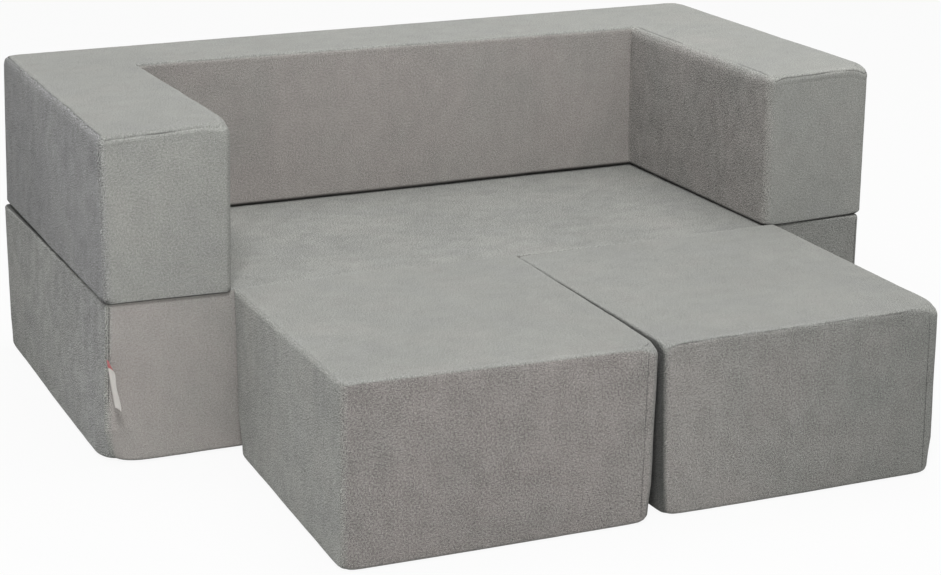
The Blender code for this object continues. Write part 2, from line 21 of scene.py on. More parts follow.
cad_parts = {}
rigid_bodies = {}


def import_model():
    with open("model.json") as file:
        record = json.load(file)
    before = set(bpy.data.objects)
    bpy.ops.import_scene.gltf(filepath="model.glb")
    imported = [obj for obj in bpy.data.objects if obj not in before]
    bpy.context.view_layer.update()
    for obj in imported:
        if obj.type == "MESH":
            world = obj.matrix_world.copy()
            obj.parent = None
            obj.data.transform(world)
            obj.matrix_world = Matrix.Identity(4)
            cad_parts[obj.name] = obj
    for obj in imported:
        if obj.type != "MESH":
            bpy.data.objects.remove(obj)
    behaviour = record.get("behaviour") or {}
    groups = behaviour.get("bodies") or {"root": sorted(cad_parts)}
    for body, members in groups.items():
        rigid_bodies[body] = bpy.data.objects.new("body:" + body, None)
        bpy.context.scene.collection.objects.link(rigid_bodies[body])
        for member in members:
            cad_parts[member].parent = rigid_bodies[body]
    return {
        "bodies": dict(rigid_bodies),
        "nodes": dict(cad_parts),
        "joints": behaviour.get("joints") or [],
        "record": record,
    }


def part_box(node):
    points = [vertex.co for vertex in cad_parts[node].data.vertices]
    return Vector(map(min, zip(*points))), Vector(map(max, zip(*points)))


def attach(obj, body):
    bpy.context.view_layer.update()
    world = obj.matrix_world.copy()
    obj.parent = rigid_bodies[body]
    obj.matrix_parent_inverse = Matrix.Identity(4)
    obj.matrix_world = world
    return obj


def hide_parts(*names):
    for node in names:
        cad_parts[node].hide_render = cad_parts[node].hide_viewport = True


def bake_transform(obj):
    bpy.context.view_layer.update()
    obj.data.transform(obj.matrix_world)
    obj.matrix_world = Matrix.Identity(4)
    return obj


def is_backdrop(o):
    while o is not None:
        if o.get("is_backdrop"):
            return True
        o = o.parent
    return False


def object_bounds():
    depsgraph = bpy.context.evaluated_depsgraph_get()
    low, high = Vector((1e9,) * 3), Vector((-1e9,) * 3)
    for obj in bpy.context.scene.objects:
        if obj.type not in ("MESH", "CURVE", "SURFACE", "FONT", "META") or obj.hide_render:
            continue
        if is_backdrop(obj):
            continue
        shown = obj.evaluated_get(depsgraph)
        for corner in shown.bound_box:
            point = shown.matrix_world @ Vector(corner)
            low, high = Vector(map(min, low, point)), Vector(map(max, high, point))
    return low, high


LOG = logging.getLogger("sofa")
MM = 0.001
TINY = 1e-12
RIGHT_ANGLE = 90.0
WHITE = (1.0, 1.0, 1.0, 1.0)

# A distance beyond everything on the sofa.
FAR = 9.0

# The direction that the rear walls face.
REARWARD = np.array([0.0, 1.0, 0.0])

# Names of what the meshes carry for their finishes.
WEAVE_MAP = "weave"
# The seam field carries painted shade: in the seams, on the rolls where blocks meet and in the zip's slot.
SEAM_SHADE_FIELD = "seam"
# The edge field carries wear together with a painted highlight along the top seams.
EDGE_FIELD = "edge"
# The tone field carries each panel's brightness: the pile's lie together with painted light and shade.
TONE_FIELD = "tone"
GRAIN_FIELD = "grain"
HUE_FIELD = "hue"

# Factors that scatter the numbers of the noise cells, one for each axis and one for the seed.
SCATTER = (374761393, 668265263, 974634777, 1274126177)
WORD = 0xFFFFFFFF
HALF_WORD = 0xFFFF

# Along an axis, Blender's wave texture turns this many radians for each unit of length times scale.
WAVE_RATE = 20.0

Socket = bpy.types.NodeSocket
Triple = tuple[float, float, float]
Moves = dict[int, Triple]
Stitch = tuple[np.ndarray, np.ndarray, np.ndarray]


def smooth(low: float, high: float, value: np.ndarray) -> np.ndarray:
    """Goes smoothly from 0 at low to 1 at high.

    Args:
        low: Value at which the result is 0.
        high: Value at which the result is 1.
        value: Numbers to map.

    Returns:
        The mapped numbers.
    """
    share = np.clip((value - low) / (high - low), 0.0, 1.0)
    return share * share * (3.0 - 2.0 * share)


def bell(value: np.ndarray, centre: float, width: float) -> np.ndarray:
    """Returns a bell curve of height 1 round a centre."""
    return np.exp(-(((value - centre) / width) ** 2))


def mirrored(steps: tuple[float, ...]) -> list[float]:
    """Lists rising steps to both sides of nought, in order."""
    return [-step for step in reversed(steps)] + [0.0, *steps]


def lattice_noise(points: np.ndarray, size: float, seed: int) -> np.ndarray:
    """Makes smooth noise from fixed hashes, so that every run gives the same cloth.

    Args:
        points: Points, one to a row.
        size: Length of one noise cell.
        seed: Picks one of many noise fields.

    Returns:
        One value from -1 to 1 for each point.
    """
    scaled = points / size
    cell = np.floor(scaled).astype(np.int64)
    part = scaled - cell
    weight = part * part * part * (part * (part * 6.0 - 15.0) + 10.0)
    along_x, along_y, along_z, by_seed = SCATTER
    total = np.zeros(len(points))
    for corner in np.ndindex(2, 2, 2):
        at = cell + np.array(corner)
        mixed = at[:, 0] * along_x + at[:, 1] * along_y + at[:, 2] * along_z + seed * by_seed
        mixed &= WORD
        mixed = ((mixed ^ (mixed >> 13)) * by_seed) & WORD
        value = ((mixed ^ (mixed >> 16)) & HALF_WORD) / (HALF_WORD / 2.0) - 1.0
        total += value * np.prod(np.where(np.array(corner) == 1, weight, 1.0 - weight), axis=1)
    return total


@dataclass(frozen=True)
class NoiseLayer:
    """One layer of noise in a finish.

    Its cells are counted in a metre, alike or for each axis. Its share says how strongly it changes the tone.
    """

    cells: float | Triple
    detail: float = 2.0
    rough: float = 0.5
    share: float = 1.0


class RibDirection(Enum):
    """Ways in which the ribs of a weave run."""

    ACROSS = "X"
    DIAGONAL = "DIAGONAL"


@dataclass(frozen=True)
class Ribs:
    """The ribs of a weave. Their share says how strongly they change the tone."""

    pitch: float
    direction: RibDirection
    distortion: float
    share: float
    detail: float = 2.0
    detail_scale: float = 1.5


class Graph:
    """Builds the node graph of a material or of the world."""

    def __init__(self, owner: bpy.types.Material | bpy.types.World) -> None:
        """Turns on the owner's nodes.

        Args:
            owner: The material or world.
        """
        owner.use_nodes = True
        self.owner = owner
        self.tree = owner.node_tree
        self.shader = self.tree.nodes.get("Principled BSDF")

    @classmethod
    def of_material(cls, name: str) -> Graph:
        """Starts the graph of a new material."""
        return cls(bpy.data.materials.new(name))

    def put(self, socket: Socket, value: Any) -> None:
        """Links an input to an output, or sets it to a value.

        Args:
            socket: The input.
            value: An output, or a plain value.
        """
        if isinstance(value, Socket):
            self.tree.links.new(value, socket)
        else:
            socket.default_value = value

    def node(self, kind: str, inputs: dict[Any, Any] | None = None, **settings: Any) -> bpy.types.Node:
        """Adds a node.

        Args:
            kind: What Blender calls the node.
            inputs: Outputs or values for its inputs, by name or number.
            **settings: Its properties.

        Returns:
            The new node.
        """
        made = self.tree.nodes.new(kind)
        for key, value in settings.items():
            setattr(made, key, value)
        for key, value in (inputs or {}).items():
            self.put(made.inputs[key], value)
        return made

    def calc(self, operation: str, *values: Any) -> Socket:
        """Adds a math node over numbers or outputs, and returns its result."""
        return self.node("ShaderNodeMath", dict(enumerate(values)), operation=operation).outputs[0]

    def total(self, start: Any, *terms: tuple[Any, float]) -> Socket:
        """Adds shares of several outputs to a start value.

        Args:
            start: An output or a number.
            *terms: Outputs, each with its share.

        Returns:
            The sum.
        """
        for value, share in terms:
            start = self.calc("MULTIPLY_ADD", value, share, start)
        return start

    def noise(self, vector: Any, layer: NoiseLayer) -> Socket:
        """Adds a noise texture.

        Args:
            vector: Where it is read.
            layer: Its cells and their detail.

        Returns:
            Its value, about -0.5 to 0.5.
        """
        scale = layer.cells
        if isinstance(scale, tuple):
            vector = self.node("ShaderNodeVectorMath", {0: vector, 1: scale}, operation="MULTIPLY").outputs[0]
            scale = 1.0
        inputs = {"Vector": vector, "Scale": scale, "Detail": layer.detail, "Roughness": layer.rough}
        return self.calc("SUBTRACT", self.node("ShaderNodeTexNoise", inputs).outputs["Fac"], 0.5)

    def bands(self, vector: Any, ribs: Ribs) -> Socket:
        """Adds parallel bands.

        Args:
            vector: Where they are read.
            ribs: How they run.

        Returns:
            Their value, -0.5 to 0.5.
        """
        inputs = {
            "Vector": vector,
            "Scale": math.tau / WAVE_RATE / ribs.pitch,
            "Distortion": ribs.distortion,
            "Detail": ribs.detail,
            "Detail Scale": ribs.detail_scale,
        }
        made = self.node("ShaderNodeTexWave", inputs, wave_type="BANDS", bands_direction=ribs.direction.value)
        return self.calc("SUBTRACT", made.outputs["Fac"], 0.5)

    def field(self, name: str) -> Socket:
        """Reads a number that is stored on the mesh."""
        return self.node("ShaderNodeAttribute", attribute_name=name).outputs["Fac"]

    def weave_place(self) -> Socket:
        """Reads the place on the cloth, in metres along its threads."""
        return self.node("ShaderNodeUVMap", uv_map=WEAVE_MAP).outputs["UV"]

    def body_place(self) -> Socket:
        """Reads the place on the object."""
        return self.node("ShaderNodeTexCoord").outputs["Object"]

    def tinted(self, colour: Any, strength: Any) -> Socket:
        """Scales a colour by a number that varies over the surface."""
        return self.node("ShaderNodeVectorMath", {0: colour, "Scale": strength}, operation="SCALE").outputs[0]

    def mixed(self, share: Any, first: Any, second: Any) -> Socket:
        """Mixes two colours.

        Args:
            share: How much of the second is in the mix.
            first: An output or three numbers.
            second: An output or three numbers.

        Returns:
            The mixed colour.
        """
        first, second = ((*each, 1.0) if isinstance(each, tuple) else each for each in (first, second))
        return self.node("ShaderNodeMix", {0: share, 6: first, 7: second}, data_type="RGBA").outputs[2]

    def bump(self, height: Any, strength: float, distance: float) -> Socket:
        """Raises the surface by a height, and returns the new normal."""
        made = self.node("ShaderNodeBump", {"Height": height, "Strength": strength, "Distance": distance})
        return made.outputs[0]

    def seen_directly(self) -> Socket:
        """Tells what the camera sees, also in a mirror or through glass.

        Returns:
            1 where it does, and 0 for light on its way between surfaces.
        """
        path = self.node("ShaderNodeLightPath")
        seen = path.outputs["Is Camera Ray"]
        for other in ("Is Glossy Ray", "Is Transmission Ray"):
            seen = self.calc("MAXIMUM", seen, path.outputs[other])
        return seen

    def mixed_shader(self, share: Any, first: Any, second: Any) -> Socket:
        """Mixes two shaders, with a share of the second."""
        return self.node("ShaderNodeMixShader", {0: share, 1: first, 2: second}).outputs[0]

    def finished(self, inputs: dict[str, Any]) -> bpy.types.Material:
        """Sets the inputs of the material's shader.

        Args:
            inputs: Outputs or values by the input's name.

        Returns:
            The material.
        """
        for name, value in inputs.items():
            self.put(self.shader.inputs[name], value)
        return self.owner


@dataclass(frozen=True)
class Plush:
    """Short-pile grey plush on a twill ground."""

    colour: Triple = (0.275, 0.279, 0.261)
    warm: Triple = (0.293, 0.274, 0.260)
    cool: Triple = (0.274, 0.276, 0.276)
    speckle: NoiseLayer = NoiseLayer((500.0, 590.0, 1.0), 2.0, 0.6, share=1.50)
    tuft: NoiseLayer = NoiseLayer(230.0, 2.0, 0.6, share=0.36)
    streak: NoiseLayer = NoiseLayer((150.0, 34.0, 1.0), 3.0, 0.6, share=0.06)
    brush: NoiseLayer = NoiseLayer((36.0, 24.0, 1.0), 3.0, 0.55, share=0.17)
    patch: NoiseLayer = NoiseLayer(5.0, share=0.12)
    hue: NoiseLayer = NoiseLayer(10.0, share=0.9)
    twill: Ribs = Ribs(2.6 * MM, RibDirection.ACROSS, 1.8, share=0.10)
    twill_turn: float = math.radians(45.0)
    # How far the seam field darkens the colour: painted shade in seams, crevices and the zip's slot.
    seam_shade: float = 0.72
    # How far the edge field lightens the colour: wear together with a painted highlight along the top seams.
    wear_highlight_gain: float = 0.08
    roughness: float = 0.88
    tuft_roughness: float = 0.25
    specular: float = 0.2
    sheen: float = 0.12
    sheen_roughness: float = 0.5
    rib_height: float = 0.4
    pile_height: float = 1.2
    bump_strength: float = 0.8
    bump_depth: float = 1.0 * MM

    def make(self) -> bpy.types.Material:
        """Builds the material.

        Returns:
            The material, its colour from the pile's lie, speckle, wear and painted light, highlight and
            shade.
        """
        graph = Graph.of_material("plush_cloth")
        place, body = graph.weave_place(), graph.body_place()
        speckle, tufts = graph.noise(place, self.speckle), graph.noise(place, self.tuft)
        turn = {"Vector": place, "Angle": self.twill_turn}
        turned = graph.node("ShaderNodeVectorRotate", turn, rotation_type="Z_AXIS")
        ribs = graph.bands(turned.outputs[0], self.twill)
        grain = graph.total(
            0.0,
            (speckle, self.speckle.share),
            (tufts, self.tuft.share),
            (graph.noise(place, self.streak), self.streak.share),
            (graph.noise(place, self.brush), self.brush.share),
            (graph.noise(body, self.patch), self.patch.share),
            (ribs, self.twill.share),
        )
        tone = graph.calc("MULTIPLY_ADD", grain, graph.field(GRAIN_FIELD), 1.0)
        # Wear together with a painted highlight along the top seams.
        tone = graph.total(tone, (graph.field(EDGE_FIELD), self.wear_highlight_gain))
        # Each panel's tone: the pile's lie together with painted light and shade.
        tone = graph.calc("MULTIPLY", tone, graph.field(TONE_FIELD))
        # Painted shade in seams, crevices and the zip's slot.
        tone = graph.calc("MULTIPLY", tone, graph.total(1.0, (graph.field(SEAM_SHADE_FIELD), -self.seam_shade)))
        warmth = graph.total(graph.field(HUE_FIELD), (graph.noise(body, self.hue), self.hue.share))
        colour = graph.mixed(warmth, self.colour, self.warm)
        colour = graph.mixed(graph.calc("MULTIPLY", warmth, -1.0), colour, self.cool)
        pile = ((speckle, self.pile_height), (tufts, self.pile_height))
        return graph.finished({
            "Base Color": graph.tinted(colour, tone),
            "Roughness": graph.total(self.roughness, (tufts, self.tuft_roughness)),
            "Specular IOR Level": self.specular,
            "Sheen Weight": self.sheen,
            "Sheen Roughness": self.sheen_roughness,
            "Normal": graph.bump(
                graph.total(0.0, (ribs, self.rib_height), *pile), self.bump_strength, self.bump_depth
            ),
        })


@dataclass(frozen=True)
class Thread:
    """Polyester sewing thread."""

    colour: Triple = (0.045, 0.045, 0.042)
    ply: NoiseLayer = NoiseLayer(1800.0, 2.0, 0.6, share=0.6)
    roughness: float = 0.6
    ply_roughness: float = 0.3
    sheen: float = 0.1
    bump_strength: float = 0.4
    bump_depth: float = 0.2 * MM

    def make(self) -> bpy.types.Material:
        """Builds the material.

        Returns:
            The material, with the twist of its ply.
        """
        graph = Graph.of_material("sewing_thread")
        ply = graph.noise(graph.body_place(), self.ply)
        return graph.finished({
            "Base Color": graph.tinted(self.colour, graph.total(1.0, (ply, self.ply.share))),
            "Roughness": graph.total(self.roughness, (ply, self.ply_roughness)),
            "Sheen Weight": self.sheen,
            "Normal": graph.bump(ply, self.bump_strength, self.bump_depth),
        })


@dataclass(frozen=True)
class WovenTape:
    """Woven tape: the zips' tapes, the hinge strip and the label's ribbon."""

    name: str
    colour: Triple
    rib_pitch: float
    roughness: float
    sheen: float = 0.0
    head_colour: Triple | None = None
    rib_distortion: float = 0.6
    rib_share: float = 0.16
    fibre: NoiseLayer = NoiseLayer(1500.0, 3.0, 0.6, share=0.22)
    wear: NoiseLayer = NoiseLayer(120.0, 3.0, 0.6, share=0.22)
    wear_roughness: float = 0.25
    bump_strength: float = 0.4
    bump_depth: float = 0.3 * MM

    def make(self) -> bpy.types.Material:
        """Builds the ribbed material, with a plain head band where head_colour is set.

        Returns:
            The material.
        """
        graph = Graph.of_material(self.name)
        body = graph.body_place()
        weave = Ribs(self.rib_pitch, RibDirection.DIAGONAL, self.rib_distortion, self.rib_share)
        ribs = graph.bands(body, weave)
        fibre, wear = graph.noise(body, self.fibre), graph.noise(body, self.wear)
        tone = graph.total(1.0, (ribs, weave.share), (fibre, self.fibre.share), (wear, self.wear.share))
        colour: Any = self.colour
        if self.head_colour is not None:
            colour = graph.mixed(graph.field(TONE_FIELD), self.colour, self.head_colour)
        return graph.finished({
            "Base Color": graph.tinted(colour, tone),
            "Roughness": graph.total(self.roughness, (wear, self.wear_roughness)),
            "Sheen Weight": self.sheen,
            "Normal": graph.bump(graph.calc("ADD", ribs, fibre), self.bump_strength, self.bump_depth),
        })


@dataclass(frozen=True)
class Moulded:
    """Moulded or cast pieces: the zip's coil, slider and pull."""

    name: str
    colour: Triple
    roughness: float
    metallic: float
    cast_cells: float
    rubbed_size: float = 9.0
    rubbed_share: float = 0.35
    bump_strength: float = 0.25
    bump_depth: float = 0.15 * MM

    def make(self) -> bpy.types.Material:
        """Builds the material.

        Returns:
            The material, with a fine casting grain and rubbed patches.
        """
        graph = Graph.of_material(self.name)
        body = graph.body_place()
        cast = graph.noise(body, NoiseLayer(self.cast_cells, 3.0, 0.6))
        rubbed = graph.noise(body, NoiseLayer(self.cast_cells / self.rubbed_size))
        return graph.finished({
            "Base Color": graph.tinted(self.colour, graph.total(1.0, (rubbed, self.rubbed_share))),
            "Roughness": graph.total(self.roughness, (rubbed, -self.rubbed_share)),
            "Metallic": self.metallic,
            "Normal": graph.bump(cast, self.bump_strength, self.bump_depth),
        })


@dataclass(frozen=True)
class Backdrop:
    """Pale studio floor that shows white to the camera and keeps a soft shadow."""

    colour: Triple = (0.66, 0.66, 0.655)
    grain: NoiseLayer = NoiseLayer(40.0, 3.0, 0.5, share=0.01)
    roughness: float = 0.9
    glow_share: float = 0.92

    def make(self) -> bpy.types.Material:
        """Builds the floor's material.

        Returns:
            The material.
        """
        graph = Graph.of_material("studio_floor")
        grain = graph.noise(graph.body_place(), self.grain)
        glow = graph.node("ShaderNodeEmission", {"Color": WHITE})
        share = graph.calc("MULTIPLY", graph.seen_directly(), self.glow_share)
        mixed = graph.mixed_shader(share, graph.shader.outputs[0], glow.outputs[0])
        graph.put(graph.tree.nodes["Material Output"].inputs["Surface"], mixed)
        return graph.finished({
            "Base Color": graph.tinted(self.colour, graph.total(1.0, (grain, self.grain.share))),
            "Roughness": self.roughness,
        })


class Palette:
    """The sofa's finishes, each made once."""

    def __init__(self) -> None:
        """Makes every material."""
        cream, red = (0.60, 0.575, 0.54), (0.42, 0.035, 0.040)
        self.plush = Plush().make()
        self.thread = Thread().make()
        self.tape = WovenTape("zip_tape_cloth", (0.150, 0.150, 0.143), 0.9 * MM, 0.80).make()
        self.lining = WovenTape("hinge_cloth", (0.215, 0.217, 0.205), 1.1 * MM, 0.85, sheen=0.1).make()
        self.label = WovenTape("label_ribbon", cream, 0.7 * MM, 0.50, sheen=0.15, head_colour=red).make()
        self.coil = Moulded("zip_coil_nylon", (0.115, 0.115, 0.110), 0.42, 0.0, 900.0).make()
        self.metal = Moulded("zip_metal", (0.34, 0.34, 0.335), 0.38, 0.9, 1500.0).make()


@dataclass
class MeshParts:
    """A mesh under construction, with what its cloth needs at each point or face."""

    points: np.ndarray
    faces: list[tuple[int, ...]]
    weave: np.ndarray | None = None
    fields: dict[str, np.ndarray] = field(default_factory=dict)

    def make(self, name: str, material: bpy.types.Material) -> bpy.types.Object:
        """Turns the parts into an object.

        Args:
            name: Name of the object and its mesh.
            material: Its finish.

        Returns:
            The new object, smoothly shaded.
        """
        mesh = bpy.data.meshes.new(name)
        mesh.from_pydata(self.points.tolist(), [], self.faces)
        mesh.shade_smooth()
        if self.weave is not None:
            layer = mesh.uv_layers.new(name=WEAVE_MAP)
            layer.data.foreach_set("uv", self.weave.astype(np.float32).ravel())
        for key, values in self.fields.items():
            domain = "FACE" if len(values) == len(self.faces) else "POINT"
            made = mesh.attributes.new(key, "FLOAT", domain)
            made.data.foreach_set("value", values.astype(np.float32))
        mesh.materials.append(material)
        obj = bpy.data.objects.new(name, mesh)
        bpy.context.scene.collection.objects.link(obj)
        return obj


def grid_normals(points: np.ndarray, faces: np.ndarray) -> np.ndarray:
    """Returns the outward unit normal at each point of a quad mesh.

    Args:
        points: Points, one to a row.
        faces: Four point numbers to a row.

    Returns:
        One normal for each point.
    """
    a, b, c, d = (points[faces[:, n]] for n in range(4))
    across = np.cross(c - a, d - b)
    total = np.zeros_like(points)
    for n in range(4):
        np.add.at(total, faces[:, n], across)
    return total / np.maximum(np.linalg.norm(total, axis=1, keepdims=True), TINY)


def grid_quads(number: np.ndarray) -> np.ndarray:
    """Lists the quads of a grid of point numbers, four numbers to a row."""
    around = [number[:-1, :-1], number[1:, :-1], number[1:, 1:], number[:-1, 1:]]
    return np.stack(around, axis=2).reshape(-1, 4)


@dataclass(frozen=True)
class Column:
    """One point of a plan: on a corner's fillet where turn is set, otherwise a share along the straight."""

    corner: int
    turn: float = math.nan
    share: float = math.nan

    @property
    def on_fillet(self) -> bool:
        """Says whether the column stands on a corner's fillet."""
        return not math.isnan(self.turn)


@dataclass
class Outline:
    """A square-cornered plan with rounded upright edges.

    Its corners are numbered counter-clockwise from the front left, and an edge has its first corner's number.
    Each pair names two edges that face each other, whose columns match.
    """

    corners: list[tuple[float, float]]
    pairs: list[tuple[int, int]]
    cap_corners: tuple[int, int, int, int]
    radius: float = 12.0 * MM
    inner_radius: float = 14.0 * MM
    radii: dict[int, float] = field(default_factory=dict)
    pitch: float = 8.0 * MM
    first_step: float = 3.5 * MM
    growth: float = 1.18
    last_step: float = 0.6
    least_gap: float = 0.35 * MM
    mark_room: float = 1.2 * MM
    room_growth: float = 0.1
    most_room: float = 0.45
    fillet_steps: int = 16
    least_radius: float = 1.5 * MM
    soft_spread: float = 2.5

    def __post_init__(self) -> None:
        """Works out the edges."""
        self.plan = np.array(self.corners, float)
        after = np.roll(self.plan, -1, axis=0)
        self.count = len(self.plan)
        self.length = np.linalg.norm(after - self.plan, axis=1)
        self.along = (after - self.plan) / self.length[:, None]
        self.inward = np.stack([-self.along[:, 1], self.along[:, 0]], axis=1)
        before = np.roll(self.along, 1, axis=0)
        self.convex = before[:, 0] * self.along[:, 1] - before[:, 1] * self.along[:, 0] > 0.0
        plain = np.where(self.convex, self.radius, self.inner_radius)
        self.setback = np.array([self.radii.get(k, plain[k]) for k in range(self.count)])
        self.columns: list[Column] = []

    def run(self, edge: int) -> float:
        """Returns the length of an edge's straight between its fillets."""
        return float(self.length[edge] - self.setback[edge] - self.setback[(edge + 1) % self.count])

    def beside_corner(self, corner: int, offset: float) -> tuple[int, float]:
        """Finds the place at a distance from the middle of a corner's fillet.

        Args:
            corner: The corner.
            offset: Distance along the walk, negative for the edge before the corner.

        Returns:
            The edge, and the distance along it.
        """
        arc = self.setback[corner] * math.pi / 4.0
        if offset >= 0.0:
            return corner, float(self.setback[corner] + offset - arc)
        edge = (corner - 1) % self.count
        return edge, float(self.length[edge] - self.setback[corner] + offset + arc)

    def spread(self, marks: dict[int, list[float]]) -> None:
        """Spreads the columns round the outline.

        Args:
            marks: For each edge, the distances along it where the cloth needs points.
        """
        shares: dict[int, list[float]] = {}
        for first, second in self.pairs:
            fixed = self.mark_shares(first, marks)
            fixed += [1.0 - share for share in self.mark_shares(second, marks)]
            shares[first] = self.stations(self.run(first), fixed)
            shares[second] = [1.0 - share for share in reversed(shares[first])]
        self.middle = []
        for k in range(self.count):
            self.middle.append(len(self.columns) + self.fillet_steps // 2)
            turns = [step / self.fillet_steps for step in range(self.fillet_steps + 1)]
            self.columns += [Column(k, turn=turn) for turn in turns]
            self.columns += [Column(k, share=share) for share in shares[k]]
        outline = self.place(np.zeros((len(self.columns), 1)))[:, 0]
        self.running = self.walk_lengths(outline)
        self.perimeter = float(self.running[-1])

    def mark_shares(self, edge: int, marks: dict[int, list[float]]) -> list[float]:
        """Turns an edge's marks into shares of its straight."""
        return [(place - float(self.setback[edge])) / self.run(edge) for place in marks.get(edge, [])]

    def stations(self, run: float, fixed: list[float]) -> list[float]:
        """Spreads the columns along a straight.

        Args:
            run: Its length.
            fixed: Shares that must be among them.

        Returns:
            Shares in order, without the ends.
        """
        least = self.least_gap / run
        kept: list[float] = []
        for share in sorted(fixed):
            if 2.0 * least < share < 1.0 - 2.0 * least and (not kept or share - kept[-1] > least):
                kept.append(share)
        steps: list[float] = []
        place, step = 0.0, self.first_step
        while place + step < run * 0.5 - step * self.last_step:
            place += step
            step = min(step * self.growth, self.pitch)
            steps.append(place / run)
        marked = list(kept)
        for share in steps + [0.5] + [1.0 - share for share in steps]:
            room = self.mark_room + self.room_growth * run * min(share, 1.0 - share)
            if all(abs(share - mark) > min(self.most_room * self.pitch, room) / run for mark in marked):
                kept.append(share)
        return sorted(kept)

    def place(self, insets: np.ndarray) -> np.ndarray:
        """Places the columns on the outline, drawn in by insets.

        Args:
            insets: One row for each column, one inset for each ring.

        Returns:
            Plan points in the same layout.
        """
        placed = np.zeros((*insets.shape, 2))
        for j, column in enumerate(self.columns):
            k, last = column.corner, (column.corner + 1) % self.count
            inset = insets[j][:, None]
            if column.on_fillet:
                angle = column.turn * math.pi / 2.0
                before = self.inward[k - 1]
                reach = before * math.cos(angle) + self.inward[k] * math.sin(angle)
                if self.convex[k]:
                    radius = np.maximum(self.setback[k] - inset, self.least_radius)
                    placed[j] = self.plan[k] + (before + self.inward[k]) * (inset + radius) - reach * radius
                else:
                    centre = self.plan[k] - (before + self.inward[k]) * self.setback[k]
                    placed[j] = centre + reach * (self.setback[k] + inset)
                continue
            ends = []
            for corner in (k, last):
                radius = np.maximum(self.setback[corner] - inset, self.least_radius)
                hollow = np.full_like(inset, self.setback[corner])
                ends.append(inset + radius if self.convex[corner] else hollow)
            place = ends[0] + column.share * (self.length[k] - ends[0] - ends[1])
            placed[j] = self.plan[k] + self.along[k] * place + self.inward[k] * inset
        return placed

    def walk_lengths(self, outline: np.ndarray) -> np.ndarray:
        """Returns the running length at each column, and once more for the way back to the first."""
        steps = np.linalg.norm(np.roll(outline, -1, axis=0) - outline, axis=1)
        return np.concatenate([[0.0], np.cumsum(steps)])

    def from_corner(self, corner: int, offset: float) -> np.ndarray:
        """Returns each column's distance along the walk from a place beside a corner."""
        away = self.running[:-1] - self.running[self.middle[corner]] - offset
        return (away + self.perimeter / 2.0) % self.perimeter - self.perimeter / 2.0

    def softened(self, radius: np.ndarray, soft: dict[int, float], plain: float, reach: float) -> np.ndarray:
        """Widens a rounded edge's radius near the outward corners.

        Args:
            radius: The radius at each column.
            soft: The radius on single corners.
            plain: The radius on the other corners.
            reach: How far from a corner's fillet the widening ends, at the least.

        Returns:
            The new radius at each column.
        """
        found = radius.copy()
        for k in range(self.count):
            if self.convex[k]:
                away = np.abs(self.from_corner(k, 0.0)) - self.setback[k] * math.pi / 4.0
                wide = max(reach, self.soft_spread * (soft.get(k, plain) - float(radius.min())))
                found += (soft.get(k, plain) - radius) * np.clip(1.0 - away / wide, 0.0, 1.0) ** 2
        return found

    def edge_mix(self, values: list[float]) -> np.ndarray:
        """Gives each column its edge's value, changing smoothly round the corners.

        Args:
            values: One value for each edge.

        Returns:
            One value for each column.
        """
        found = np.zeros(len(self.columns))
        for j, column in enumerate(self.columns):
            found[j] = values[column.corner]
            if column.on_fillet:
                found[j] = values[column.corner - 1] + (found[j] - values[column.corner - 1]) * column.turn
        return found

    def nearest_edge(self, place: np.ndarray) -> tuple[np.ndarray, np.ndarray]:
        """Finds the nearest edge of the outline.

        Args:
            place: Plan points.

        Returns:
            Each point's distance to the outline, and the edge that is nearest.
        """
        best, edge = np.full(len(place), FAR), np.zeros(len(place), int)
        for k in range(self.count):
            away = place - self.plan[k]
            t = np.clip(away @ self.along[k], 0.0, self.length[k])
            distance = np.linalg.norm(away - t[:, None] * self.along[k], axis=1)
            edge = np.where(distance < best, k, edge)
            best = np.minimum(best, distance)
        return best, edge

    def corner_weights(self, place: np.ndarray, margin: float) -> np.ndarray:
        """Works out mean value weights, which share a point among the plan's corners.

        Args:
            place: Plan points.
            margin: How far outside the plan the points may lie.

        Returns:
            One row for each point, one weight for each corner.
        """
        outer = self.plan - margin * (self.inward + np.roll(self.inward, 1, axis=0))
        away = outer[None] - place[:, None]
        reach = np.linalg.norm(away, axis=2)
        after, far = np.roll(away, -1, axis=1), np.roll(reach, -1, axis=1)
        cross = away[..., 0] * after[..., 1] - away[..., 1] * after[..., 0]
        cross = np.where(np.abs(cross) < TINY, TINY, cross)
        half_turn = (reach * far - np.sum(away * after, axis=2)) / cross
        weights = (np.roll(half_turn, 1, axis=1) + half_turn) / reach
        return weights / weights.sum(axis=1, keepdims=True)

    def cap(self, ring: np.ndarray) -> tuple[np.ndarray, list[list[int]]]:
        """Spans the top or the underside between the four sides of a ring.

        Args:
            ring: Plan points of the ring that bounds it.

        Returns:
            The plan points of the inner grid, and the columns on the four sides.
        """
        b0, b1, a1, a0 = (self.middle[c] for c in self.cap_corners)
        sides = [self.walk(b0, b1, 1), self.walk(a0, a1, -1), self.walk(b0, a0, -1), self.walk(b1, a1, 1)]
        near, far, first, last = (ring[side] for side in sides)
        u, v = self.walk_lengths(near)[:-1], self.walk_lengths(first)[:-1]
        u, v = (u / u[-1])[:, None, None], (v / v[-1])[None, :, None]
        points = (1.0 - v) * near[:, None] + v * far[:, None]
        points = points + (1.0 - u) * (first[None] - (1.0 - v) * first[0] - v * first[-1])
        points = points + u * (last[None] - (1.0 - v) * last[0] - v * last[-1])
        return points[1:-1, 1:-1], sides

    def walk(self, start: int, stop: int, step: int) -> list[int]:
        """Lists the columns from one to another.

        Args:
            start: The first column.
            stop: The last column.
            step: 1 to go with the walk round the outline, -1 against it.

        Returns:
            The columns in order.
        """
        found = [start]
        while found[-1] != stop:
            found.append((found[-1] + step) % len(self.columns))
        return found


